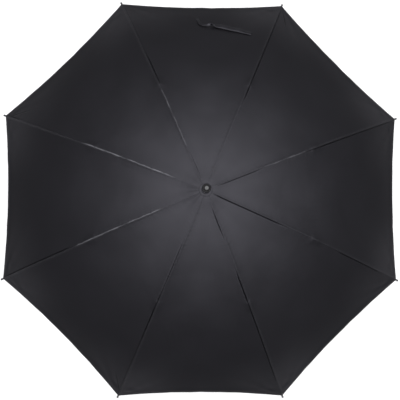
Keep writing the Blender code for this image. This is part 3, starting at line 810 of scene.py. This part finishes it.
# Where the hem turns under, past the cloth's edge: (out, down, run of cloth from the edge), in mm
HEM_TURN = [(0.3, 0.1, 0.4), (0.42, 0.45, 0.9), (0.3, 0.8, 1.3)]
HEM_TURN += [(-0.6, 0.9, 2.2), (-4, 0.9, 5.6), (-8.4, 0.85, 10)]


def half_canopy(rib, side):
    """One half-panel's grid, from its seam to its mid-line: points, and its UV maps.

    side is 1 for the half anticlockwise of the rib, and -1 for the other one."""
    panel = panels[(rib - 1 if side > 0 else rib - 2) % RIBS]
    arcs = canopy_arcs()
    distance, squeeze = seam_distances(half_width(arcs))
    share = 1 - distance / half_width(arcs)[:, None]
    q = -side * share
    arc = arcs[:, None] - panel.hem(q) * (arcs[:, None] / CANOPY_END) ** 3
    relief = seam_relief(rib, arc)
    lift = cloth_lift(arc, distance, squeeze, side > 0, relief) + panel.wrinkles(arc, distance, q)
    # Past its edge the cloth turns under and runs back as the hem
    last = slice(-1, None)
    thin = 0.3 + 0.7 * step(3 * MM, 14 * MM, distance[last])
    rows = [(arc, lift, distance, q, relief, 0 * arc)]
    for out, down, run in HEM_TURN:
        edge = arc[last] + out * MM
        under = lift[last] - down * MM * thin
        rows.append((edge, under, distance[last], q[last], relief[last], 0 * edge + run * MM))
    arc, lift, distance, q, relief, run = (np.vstack(part) for part in zip(*rows))
    radius, height = rib_curve(arc, lift)
    height = height - panel.drop(arc, q)
    azimuth = rib_azimuth(rib) + side * HALF_SECTOR
    outward, across = radius * math.cos(HALF_SECTOR), radius * math.sin(HALF_SECTOR) * q
    cos, sin = math.cos(azimuth), math.sin(azimuth)
    points = np.stack([outward * cos - across * sin, outward * sin + across * cos, height], -1)
    cloth = np.stack([across, arc + 2 * run], -1)
    to_hem = (CANOPY_END - panel.hem(q)) - arc
    edge = np.stack([distance * side, np.where(run > 0, -run, to_hem)], -1)
    beside_crease = NOWHERE + 0 * relief
    if side < 0 and rib in CREASES:
        start, slope = CREASES[rib]
        beside_crease = distance - slope * (CANOPY_END - arc - start)
    return points, {"cloth": cloth, "edge": edge, "relief": np.stack([relief, beside_crease], -1)}


def canopy_normals(halves):
    """Each half's point normals, taken over the whole canopy at once so that none of the cuts shows."""
    some = next(iter(halves.values()))[0]
    rows, columns = some.shape[:2]
    period = 2 * (columns - 1)
    whole = np.zeros((rows, period * RIBS, 3))
    places = {}
    for (rib, side), (points, _) in halves.items():
        place = ((rib - 1) * period + side * np.arange(columns)) % (period * RIBS)
        whole[:, place] = points
        places[rib, side] = place
    ahead = unit(np.roll(whole, -1, 1) - whole)
    around = unit(ahead + np.roll(ahead, 1, 1))
    down = unit(np.diff(whole, axis=0))
    outward = unit(np.vstack([down[:1], down[:-1] + down[1:], down[-1:]]))
    normals = unit(np.cross(outward, around))
    return {key: normals[:, place] for key, place in places.items()}


def surface_area(points):
    one = np.cross(points[1:, :-1] - points[:-1, :-1], points[:-1, 1:] - points[:-1, :-1])
    two = np.cross(points[1:, :-1] - points[1:, 1:], points[:-1, 1:] - points[1:, 1:])
    return float((np.linalg.norm(one, axis=-1) + np.linalg.norm(two, axis=-1)).sum() / 2)


def bent_with(obj):
    """Bakes the piece's placement into its mesh.
    """
    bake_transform(obj)


def add_canopy(material):
    """The sixteen half-panels, each cut out of one smooth canopy."""
    halves = {(rib, side): half_canopy(rib, side) for rib in range(1, RIBS + 1) for side in (1, -1)}
    normals = canopy_normals(halves)
    for (rib, side), (points, maps) in halves.items():
        letter = "a" if side > 0 else "b"
        turned = {name: values if side > 0 else values[:, ::-1] for name, values in maps.items()}
        order = slice(None) if side > 0 else slice(None, None, -1)
        grid, above = points[:, order], normals[rib, side][:, order]
        obj = grid_object(f"fabric_{rib}{letter}_cloth", grid, material, turned, normals=above)
        bent_with(obj)
        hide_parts(f"canopy_{rib}{letter}")
        surface_area(points)


def panel_height(x, y):
    """How high the strap's panel is over a point of the plan. It is the one square to Y."""
    radius = y / math.cos(HALF_SECTOR)
    rise = ((radius - PIVOT_RADIUS) * CURVATURE + math.sin(RIB_SLOPE_IN)) / (1 + FABRIC_LIFT * CURVATURE)
    arc = (math.asin(rise) - RIB_SLOPE_IN) / CURVATURE
    q = -x / (radius * math.sin(HALF_SECTOR))
    return rib_curve(arc, FABRIC_LIFT)[1] - panels[1].drop(arc, q)


def smooth_path(knots, count):
    """Evenly spaced points on a smooth curve through the knots."""
    knots = np.array(knots, float)
    padded = np.vstack([2 * knots[0] - knots[1], knots, 2 * knots[-1] - knots[-2]])
    pieces = []
    for a, b, c, d in zip(padded, padded[1:], padded[2:], padded[3:]):
        t = np.linspace(0, 1, 40, endpoint=False)[:, None]
        square, cube = 2 * a - 5 * b + 4 * c - d, 3 * b - a - 3 * c + d
        pieces.append(0.5 * (2 * b + (c - a) * t + square * t**2 + cube * t**3))
    fine = np.vstack([*pieces, knots[-1:]])
    along = lengths(fine)
    even = np.linspace(0, along[-1], count)
    return np.stack([np.interp(even, along, fine[:, axis]) for axis in range(fine.shape[1])], -1)


def add_strap(material):
    """The closing strap: sewn down at one end, lying over its panel, its free end turned over once."""
    knots = mm(
        (144, 480.5), (112, 488.5), (80, 496), (50, 504), (30, 508.5),
        (14, 508.5), (0, 510.5), (-8, 515), (-12.5, 524), (-15.5, 535),
    )
    count = 120
    plan = smooth_path(knots, count)
    share = np.linspace(0, 1, count)
    lean = math.radians(-9) * step(0.05, 0.3, share) + math.radians(3) * np.sin(7 * math.pi * share)
    twist = lean * (1 - step(0.5, 0.62, share)) + math.radians(172) * step(0.60, 0.78, share)
    gather = 1 - 0.5 * step(0.56, 0.70, share)
    rise = 1.4 * MM + 3.4 * MM * np.sin(math.pi * share) ** 0.8
    rise = rise + 0.46 * STRAP_WIDTH * gather * np.abs(np.sin(twist))
    centre = np.array([[x, y, panel_height(x, y)] for x, y in plan])
    reach = 2 * MM
    outward = np.array([panel_height(x, y + reach) for x, y in plan]) - centre[:, 2]
    sideways = np.array([panel_height(x + reach, y) for x, y in plan]) - centre[:, 2]
    normal = unit(np.stack([-sideways / reach, -outward / reach, np.ones(count)], -1))
    centre = centre + normal * rise[:, None]
    ahead = unit(np.gradient(centre, axis=0))
    side = unit(np.cross(normal, ahead))
    top = np.cross(ahead, side)
    cos, sin = np.cos(twist)[:, None], np.sin(twist)[:, None]
    side, top = side * cos + top * sin, top * cos - side * sin
    half = STRAP_WIDTH / 2
    across = np.concatenate([np.linspace(-1, 1, 9), np.linspace(1, -1, 9)]) * half
    skin = np.concatenate([np.full(9, 0.5), np.full(9, -0.5)]) * STRAP_THICKNESS
    skin = skin * np.where(np.abs(across) > half * 0.99, 0.35, 1.0)
    cup = -0.4 * MM * (across / half) ** 2
    reaches = across * gather[:, None]
    points = centre[:, None] + side[:, None] * reaches[..., None] + top[:, None] * (skin + cup)[:, None]
    along = lengths(centre)
    width = np.append(across, across[0])
    maps = {"cloth": np.stack([width + 0 * along[:, None], along[:, None] + 0 * width], -1)}
    strap = welded(grid_object("closing_strap", points, material, maps, closed=True), caps=True)
    bent_with(strap)
    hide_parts("tie_strap")


# Frame of ribs and stretchers


def fix(obj, body, slot, *nodes):
    """A piece that moves with a body and stands for some CAD nodes."""
    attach(obj, body)
    if nodes:
        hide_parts(*nodes)
    return obj


def rib_plane_path(arcs, lift=0.0, across=0.0):
    radius, height = rib_curve(np.asarray(arcs, float), lift)
    return np.stack([radius, 0 * radius + across, height], -1)


def rounded_section(half_side, half_top, power, sides=16):
    """A section between an ellipse (power 2) and a rounded box (a high power)."""
    turns = turns_of(sides)
    cos, sin = np.cos(turns), np.sin(turns)
    size = (np.abs(cos) ** power + np.abs(sin) ** power) ** (-1 / power)
    return np.stack([half_side * size * cos, half_top * size * sin], -1)


def rib_rod(material):
    """The rod: a flattened tang behind its eye, drawn out into a round rod."""
    arcs = np.concatenate([np.linspace(4, 24, 12), np.linspace(32, 742, 72)]) * MM
    tang_side, tang_top = 1.15 * MM, 2.35 * MM
    sections = []
    for arc in arcs:
        share = float(step(9 * MM, 22 * MM, arc))
        half_side = tang_side + (RIB_RADIUS - tang_side) * share
        half_top = tang_top + (RIB_RADIUS - tang_top) * share
        sections.append(rounded_section(half_side, half_top, 5 - 3 * share))
    rod = swept("rod", rib_plane_path(arcs), sections, material)
    eye = eye_plate("eye", 9 * MM, EYE_RADIUS, 2.5 * MM, WIRE_HOLE, EYE_THICKNESS, material)
    moved(eye, pitch=RIB_SLOPE_IN, at=(PIVOT_RADIUS, 0, CROWN_Z))
    return joined("rib_rod", rod, eye)


def rib_sleeve(material):
    """The crimped sleeve of the stretcher's joint, with its lug."""
    half = [(2.2, 3.0), (3.8, 2.82), (4.6, 2.66), (5.4, 2.82), (6.6, 3.0), (7.4, 3.0), (7.8, 2.75), (8, 2.1)]
    profile = [(-along, radius) for along, radius in half[::-1]] + [(0, 3.0)] + half
    along, radii = np.array(profile).T * MM
    sections = [circle(radius, 24) for radius in radii]
    sleeve = swept("sleeve", rib_plane_path(JOINT_ARC + along), sections, material)
    lug = eye_plate("lug", JOINT_DROP, 2.8 * MM, 3.3 * MM, RIVET_HOLE, 3.0 * MM, material)
    radius, height = rib_curve(JOINT_ARC, -JOINT_DROP)
    moved(lug, pitch=rib_slope(JOINT_ARC) - math.pi / 2, at=(radius, 0, height))
    return joined("rib_sleeve", sleeve, lug)


def rib_cap(material):
    """The moulded cap on the rib's end: a socket for the rod, a taper, a neck and a ball."""
    outline = mm(
        (0, 13.5), (2.3, 13.5), (2.3, 0), (2.95, 0), (3.1, 1), (2.852, 13.8), (2.604, 15),
        (2.604, 16.9), (3.069, 18), (3.007, 19.6), (1.922, 20.85), (0, 21),
    )
    cap = lathe("cap", softened(outline, 0.45 * MM, closed=False), material, sides=32, closed=False)
    radius, height = rib_curve(RIB_LENGTH - CAP_LENGTH)
    return moved(cap, pitch=rib_slope(RIB_LENGTH - CAP_LENGTH) + math.pi / 2, at=(radius, 0, height))


def coil(arc, turns, radius, thread):
    """The path of a thread wound round the rib."""
    count = int(turns * 14)
    angle = np.linspace(0, 2 * math.pi * turns, count)
    arcs = arc + np.linspace(-0.5, 0.5, count) * turns * thread * 2.1
    middle = rib_plane_path(arcs)
    slope = rib_slope(arcs)
    lift = radius * np.cos(angle)
    return middle + np.stack([lift * np.sin(slope), radius * np.sin(angle), lift * np.cos(slope)], -1)


def rib_threads(material):
    """Where the cloth is tied to its rib, and where its corner is sewn to the cap."""
    thread = 0.2 * MM
    pieces = []
    for arc in (0.150, 0.262, 0.452, 0.560, 0.662):
        path = coil(arc, 3, RIB_RADIUS + 0.5 * thread, thread)
        pieces.append(swept("tie", path, [circle(thread, 6)] * len(path), material, (0, 0, 1)))
    for across in (-1.5, -0.5, 0.5, 1.5):
        # (arc, lift, across), from the seam allowance in over the corner to the ball's neck
        stops = mm(
            (730.5, 4.25, across), (733.5, 4.75, across), (737.5, 3.9, across * 0.9),
            (742, 3.35, across * 0.5), (744.7, 3.05, across * 0.25), (745.2, 2.2, across * 0.1),
        )
        knots = [rib_plane_path([arc], lift, side)[0] for arc, lift, side in stops]
        path = smooth_path(knots, 18)
        pieces.append(swept("sewing", path, [circle(0.27 * MM, 6)] * len(path), material, (0, 1, 0)))
    return joined("rib_threads", *pieces)


def channel_section(half_side, inner):
    """A U of strip that opens upwards, as a closed section."""
    low, top = -CHANNEL_HALF_DEPTH, CHANNEL_HALF_DEPTH
    floor = low + CHANNEL_WALL
    outside = [(half_side, top), (half_side, low), (-half_side, low), (-half_side, top)]
    inside = [(-inner, top), (-inner, floor), (inner, floor), (inner, top)]
    return np.array(softened(outside + inside, 0.5 * MM, steps=4))


def stretcher_body(length, material):
    """The channel, pinched flat towards the eye of its foot, with a fork at the rivet."""
    foot_at = length / MM
    near = [[-5.4], np.linspace(-8, -60, 6), np.linspace(-90, 20 - foot_at, 14)]
    along = np.concatenate([*near, np.linspace(18, 3.5, 14) - foot_at]) * MM
    inner_half, pinched_half, pinched_inner = CHANNEL_HALF - CHANNEL_WALL, 1.28 * MM, 0.08 * MM
    sections = []
    for x in along:
        pinch = float(step(17 * MM, 7 * MM, x + length))
        half_side = CHANNEL_HALF + (pinched_half - CHANNEL_HALF) * pinch
        sections.append(channel_section(half_side, inner_half + (pinched_inner - inner_half) * pinch))
    path = np.stack([along, 0 * along, 0 * along], -1)
    channel = swept("channel", path, sections, material)
    eye_radius, eye_root = 2.45 * MM, 2.42 * MM
    foot = eye_plate("foot", 6 * MM, eye_radius, eye_root, WIRE_HOLE, 2.66 * MM, material)
    moved(foot, at=(-length, 0, 0))
    cheeks = []
    for side in (-1, 1):
        cheek = eye_plate("cheek", 11 * MM, eye_radius, eye_root, RIVET_HOLE, 0.66 * MM, material)
        cheeks.append(moved(cheek, yaw=math.pi, at=(0, side * (CHANNEL_HALF - 0.3 * MM), 0)))
    return joined("stretcher_body", channel, foot, *cheeks)


def rivet_body(material):
    inner = CHANNEL_HALF + 0.3 * MM
    half = [(1.25, 0), (2.05, 0), (2.1, 0.12), (2.02, 0.4), (1.6, 0.68), (0.9, 0.78), (0, 0.8)]
    top = [(radius * MM, inner + height * MM) for radius, height in half]
    outline = [(radius, -height) for radius, height in reversed(top)] + top
    rivet = lathe("rivet", outline, material, sides=28, closed=False)
    rivet.data.transform(Matrix.Rotation(math.pi / 2, 4, "X"))
    return rivet


def add_ribs(looks):
    """Ribs, joints, caps, ties, stretchers and rivets: eight of each, with the node each stands for."""
    radius, height = rib_curve(JOINT_ARC, -JOINT_DROP)
    length = math.hypot(radius - PIVOT_RADIUS, CROWN_Z - height)
    dip = math.atan2(CROWN_Z - height, radius - PIVOT_RADIUS)
    to_joint = Matrix.Translation((radius, 0, height))
    on_rib = Matrix.Identity(4)
    along = to_joint @ Matrix.Rotation(-dip, 4, "Y")
    strip = stretcher_body(length, looks["strip"])
    # The piece and its name, where it goes, its body and slot, and the node it stands for
    rows = [
        (rib_rod(looks["rod"]), "rib_{}_rod", on_rib, "rib_{}", "rib", "rib_{}"),
        (rib_sleeve(looks["strip"]), "rib_{}_joint", on_rib, "rib_{}", "stretcher", None),
        (rib_cap(looks["cap"]), "rib_{}_cap", on_rib, "rib_{}", "rib_tip", "rib_tip_{}"),
        (rib_threads(looks["thread"]), "rib_{}_threads", on_rib, "rib_{}", "fabric", None),
        (strip, "stretcher_{}_strip", along, "stretcher_{}", "stretcher", "stretcher_{}"),
        (rivet_body(looks["steel"]), "rivet_{}_head", to_joint, "stretcher_{}", "rivet", "rivet_{}"),
    ]
    for source, name, place, body, slot, node in rows:
        for rib in range(1, RIBS + 1):
            mesh = source.data.copy()
            mesh.transform(Matrix.Rotation(rib_azimuth(rib), 4, "Z") @ place)
            obj = linked(name.format(rib), mesh)
            if slot == "stretcher":
                evened(obj)
            fix(obj, body.format(rib), slot, *([node.format(rib)] if node else []))
        bpy.data.objects.remove(source)


# Pieces round the shaft


def hub_slots(low, high, half_width):
    return [
        block((8.7 * MM, -half_width, low), (22 * MM, half_width, high), rib_azimuth(rib))
        for rib in range(1, RIBS + 1)
    ]


def hub(name, outline, slots, material, z):
    body = cut(lathe(name, softened(outline, 0.5 * MM), material, 128), slots)
    body.data.transform(Matrix.Translation((0, 0, z)))
    body.data.shade_smooth()
    return evened(body, bevel=0.18 * MM, angle=50)


def add_hubs(looks):
    """The crown and the runner, each grooved for its wire and slotted for the eyes, and the two wires."""
    seat, rim, wire_floor = SEAT_RADIUS / MM, HUB_RADIUS / MM, 10.9
    groove = [(rim, -1), (wire_floor, -1), (wire_floor, 1), (rim, 1)]
    crown_outline = mm((seat, -8), (rim - 1, -8), (rim, -7), *groove, (rim, 4.3), (11, 5.5), (seat, 5.5))
    crown = hub("crown_hub", crown_outline, hub_slots(-20 * MM, 3.4 * MM, 1.5 * MM), looks["hub"], CROWN_Z)
    fix(crown, "shaft", "hub", "crown")
    low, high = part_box("runner")
    runner_z = high.z - 8 * MM
    bore, ring, sleeve = 7.5, 13, 10
    bottom = (low.z - runner_z) / MM
    foot = [(bore, bottom), (ring - 0.8, bottom), (ring, bottom + 1), (ring, bottom + 4)]
    head = [(sleeve, bottom + 6), (sleeve, -11.5), (rim, -5.5), *groove, (rim, 7), (rim - 1, 8), (bore, 8)]
    window = block((2 * MM, -2 * MM, -44 * MM), (20 * MM, 2 * MM, -32.5 * MM), -math.pi / 2)
    slots = [*hub_slots(-3.4 * MM, 20 * MM, 1.6 * MM), window]
    runner = hub("runner_slide", mm(*foot, *head), slots, looks["hub"], runner_z)
    fix(runner, "runner", "hub", "runner")
    for name, body, height in (("crown_wire", "shaft", CROWN_Z), ("runner_wire", "runner", runner_z)):
        ring = [(PIVOT_RADIUS + p[0], p[1]) for p in circle(0.6 * MM, 12)]
        wire = lathe(f"{name}_ring", ring, looks["steel"], 96)
        moved(wire, at=(0, 0, height))
        fix(wire, body, "wire", name)


def add_rosette(material):
    """A washer of doubled cloth, drawn down over the top of the canopy."""
    seat, outer = SEAT_RADIUS / MM, 18.2
    under = [(seat, 6.6), (12, 6.5), (14.5, 6.05), (16.6, 5.15), (17.8, 4.6), (outer, 4.65)]
    over = [(outer, 5.0), (17.8, 5.2), (16.6, 5.8), (14.5, 6.75), (12, 7.3), (seat, 7.45)]
    profile = mm(*under, *over, under[0])
    turns = turns_of(96)
    rows = []
    for radius, height in profile:
        rim = float(step(12 * MM, 18 * MM, radius))
        wave = 0.22 * MM * rim * np.sin(RIBS * turns + 0.6) + 0.12 * MM * rim * np.sin(13 * turns + 2)
        swell = radius * (1 + 0.012 * rim * np.sin(5 * turns + 1))
        heights = CROWN_Z + height + wave
        rows.append(np.stack([swell * np.cos(turns), swell * np.sin(turns), heights], -1))
    washer = welded(grid_object("rosette_cloth", np.array(rows), material, closed=True))
    fix(washer, "shaft", "rosette", "rosette")


def add_ferrule(material):
    """The tall cap over the shaft's end, with a slight waist and a round top."""
    seat, foot, top, bore, head, dome_height = SEAT_RADIUS / MM, 8, 80, 50.3, 12, 15
    turns = np.linspace(0, math.pi / 2, 20)[1:-1]
    dome = [(head * math.cos(t), top - dome_height * (1 - math.sin(t))) for t in turns]
    flare = [(11.4, 0), (11.8, 1.2), (11.5, 3), (10.75, 7.5), (10.3, 15)]
    waist = [(10.2, 24), (10.4, 36), (10.95, 47), (11.6, 56)]
    skirt = [(radius, foot + height) for radius, height in flare + waist]
    inside = [(0, bore), (seat, bore), (seat, foot)]
    outline = mm(*inside, *skirt, (head, top - dome_height), *dome, (0, top))
    ferrule = lathe("ferrule_cap", softened(outline, 0.35 * MM, closed=False), material, 128, closed=False)
    moved(ferrule, at=(0, 0, CROWN_Z))
    fix(ferrule, "shaft", "ferrule", "ferrule")


def add_shaft(looks):
    turned = cad_copy("shaft", "shaft_tube", looks["tube"])
    fix(evened(turned, bevel=0.12 * MM, angle=50), "shaft", "shaft", "shaft")
    for name in ("top_catch", "bottom_catch"):
        catch = cad_copy(name, f"{name}_spring", looks["spring"])
        fix(evened(catch, bevel=0.2 * MM, angle=50), name, "catch", name)


def cad_copy(node, name, material):
    """A CAD node's mesh, welded, as a piece of its own."""
    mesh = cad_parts[node].data.copy()
    mesh.materials.clear()
    mesh.materials.append(material)
    obj = welded(linked(name, mesh))
    with edited(mesh) as bm:
        flat = [e for e in bm.edges if e.is_manifold and e.calc_face_angle() < math.radians(0.5)]
        bmesh.ops.dissolve_edges(bm, edges=flat, use_verts=False)
    return obj


def add_grip(looks):
    """The foam grip and its end cap."""
    seat, radius, top, low, hollow = SEAT_RADIUS / MM, 15.5, 172, 6.3, 1.2
    side = []
    for share in np.linspace(0, 1, 28):
        in_by = hollow * (1 + math.cos(2 * math.pi * share)) / 2
        side.append((radius - in_by, low + 5 + (top - low - 14) * share))
    foot = [(seat, low), (radius - 2.6, low), (radius - 1.6, low + 1.2)]
    shoulder = [(radius - 1.7, top - 5.6), (radius - 3, top - 3), (radius - 4.1, top - 1.2)]
    outline = mm(*foot, *side, *shoulder, (radius - 5.5, top), (seat, top))
    grip = lathe("foam_grip", softened(outline, 0.6 * MM), looks["foam"], 96)
    fix(grip, "shaft", "grip", "handle")
    spigot, spigot_end = 7, 29
    rim = [(radius - 2.4, 0), (radius - 1.2, 1.2), (radius - 1.2, 5), (radius - 2.2, 6)]
    plug = [(spigot, 6), (spigot, spigot_end - 1), (spigot - 1, spigot_end), (0, spigot_end)]
    cap_outline = mm((0, 0), *rim, *plug)
    cap = lathe("butt_cap", softened(cap_outline, 0.35 * MM, closed=False), looks["gloss"], 96, closed=False)
    fix(evened(cap), "shaft", "cap", "end_cap")


# Studio


def add_studio():
    side = 24.0
    corners = np.array([[(-side, -side, 0), (side, -side, 0)], [(-side, side, 0), (side, side, 0)]], float)
    floor = grid_object("floor", np.transpose(corners, (1, 0, 2)) - (0, 0, 0.5 * MM), floor_finish())
    # The floor lights the object from below, but its edge isn't mirrored in the cloth
    floor.visible_glossy = False
    world = bpy.data.worlds.new("studio")
    bpy.context.scene.world = world
    world.use_nodes = True
    tree = world.node_tree
    sky = tree.nodes["Background"]
    sky.inputs["Color"].default_value = (0.985, 0.985, 1.0, 1)
    place = tree.nodes.new("ShaderNodeTexCoord").outputs["Generated"]
    near = tree.nodes.new("ShaderNodeVectorMath")
    near.operation = "DOT_PRODUCT"
    near.inputs[1].default_value = TOP_LIGHT_TOWARDS.normalized()
    tree.links.new(place, near.inputs[0])
    total = tree.nodes.new("ShaderNodeMath")
    ramps = ((*TOP_LIGHT_EDGE, WALL_LIGHT, TOP_LIGHT), (*FLOOR_LIGHT_EDGE, 0.0, FLOOR_LIGHT))
    for place_in_sum, ramp in enumerate(ramps):
        rise = tree.nodes.new("ShaderNodeMapRange")
        rise.interpolation_type = "SMOOTHSTEP"
        for socket, value in zip(rise.inputs[1:5], ramp):
            socket.default_value = value
        tree.links.new(near.outputs["Value"], rise.inputs[0])
        tree.links.new(rise.outputs[0], total.inputs[place_in_sum])
    seen = tree.nodes.new("ShaderNodeMix")
    seen.inputs["B"].default_value = BACKDROP
    direct = tree.nodes.new("ShaderNodeLightPath").outputs["Is Camera Ray"]
    tree.links.new(direct, seen.inputs["Factor"])
    tree.links.new(total.outputs[0], seen.inputs["A"])
    tree.links.new(seen.outputs["Result"], sky.inputs["Strength"])
    bpy.context.scene.view_settings.view_transform = "Standard"


def add_camera():
    data = bpy.data.cameras.new("camera")
    data.sensor_width = 36
    data.lens = CAMERA_LENS
    camera = linked("camera", data)
    turn = Matrix.Rotation(CAMERA_TURN.length, 4, CAMERA_TURN)
    camera.matrix_world = Matrix.Translation(CAMERA_AT) @ turn
    bpy.context.scene.camera = camera


def build():
    looks = {
        "rod": rod_finish(),
        "strip": strip_finish(),
        "steel": steel_finish("bright_steel", 0.55),
        "spring": steel_finish("spring_steel", 0.5),
        "cap": moulded_finish("cap_black", 0.014, 0.34, 0.008),
        "hub": moulded_finish("hub_black", 0.017, 0.42, 0.012),
        "thread": thread_finish(),
        "tube": tube_finish(),
        "foam": foam_finish(),
        "gloss": gloss_finish(),
    }
    add_canopy(fabric_finish())
    add_strap(strap_finish())
    add_ribs(looks)
    add_hubs(looks)
    add_rosette(felt_finish())
    add_ferrule(looks["gloss"])
    add_shaft(looks)
    add_grip(looks)
    add_studio()
    add_camera()


build()
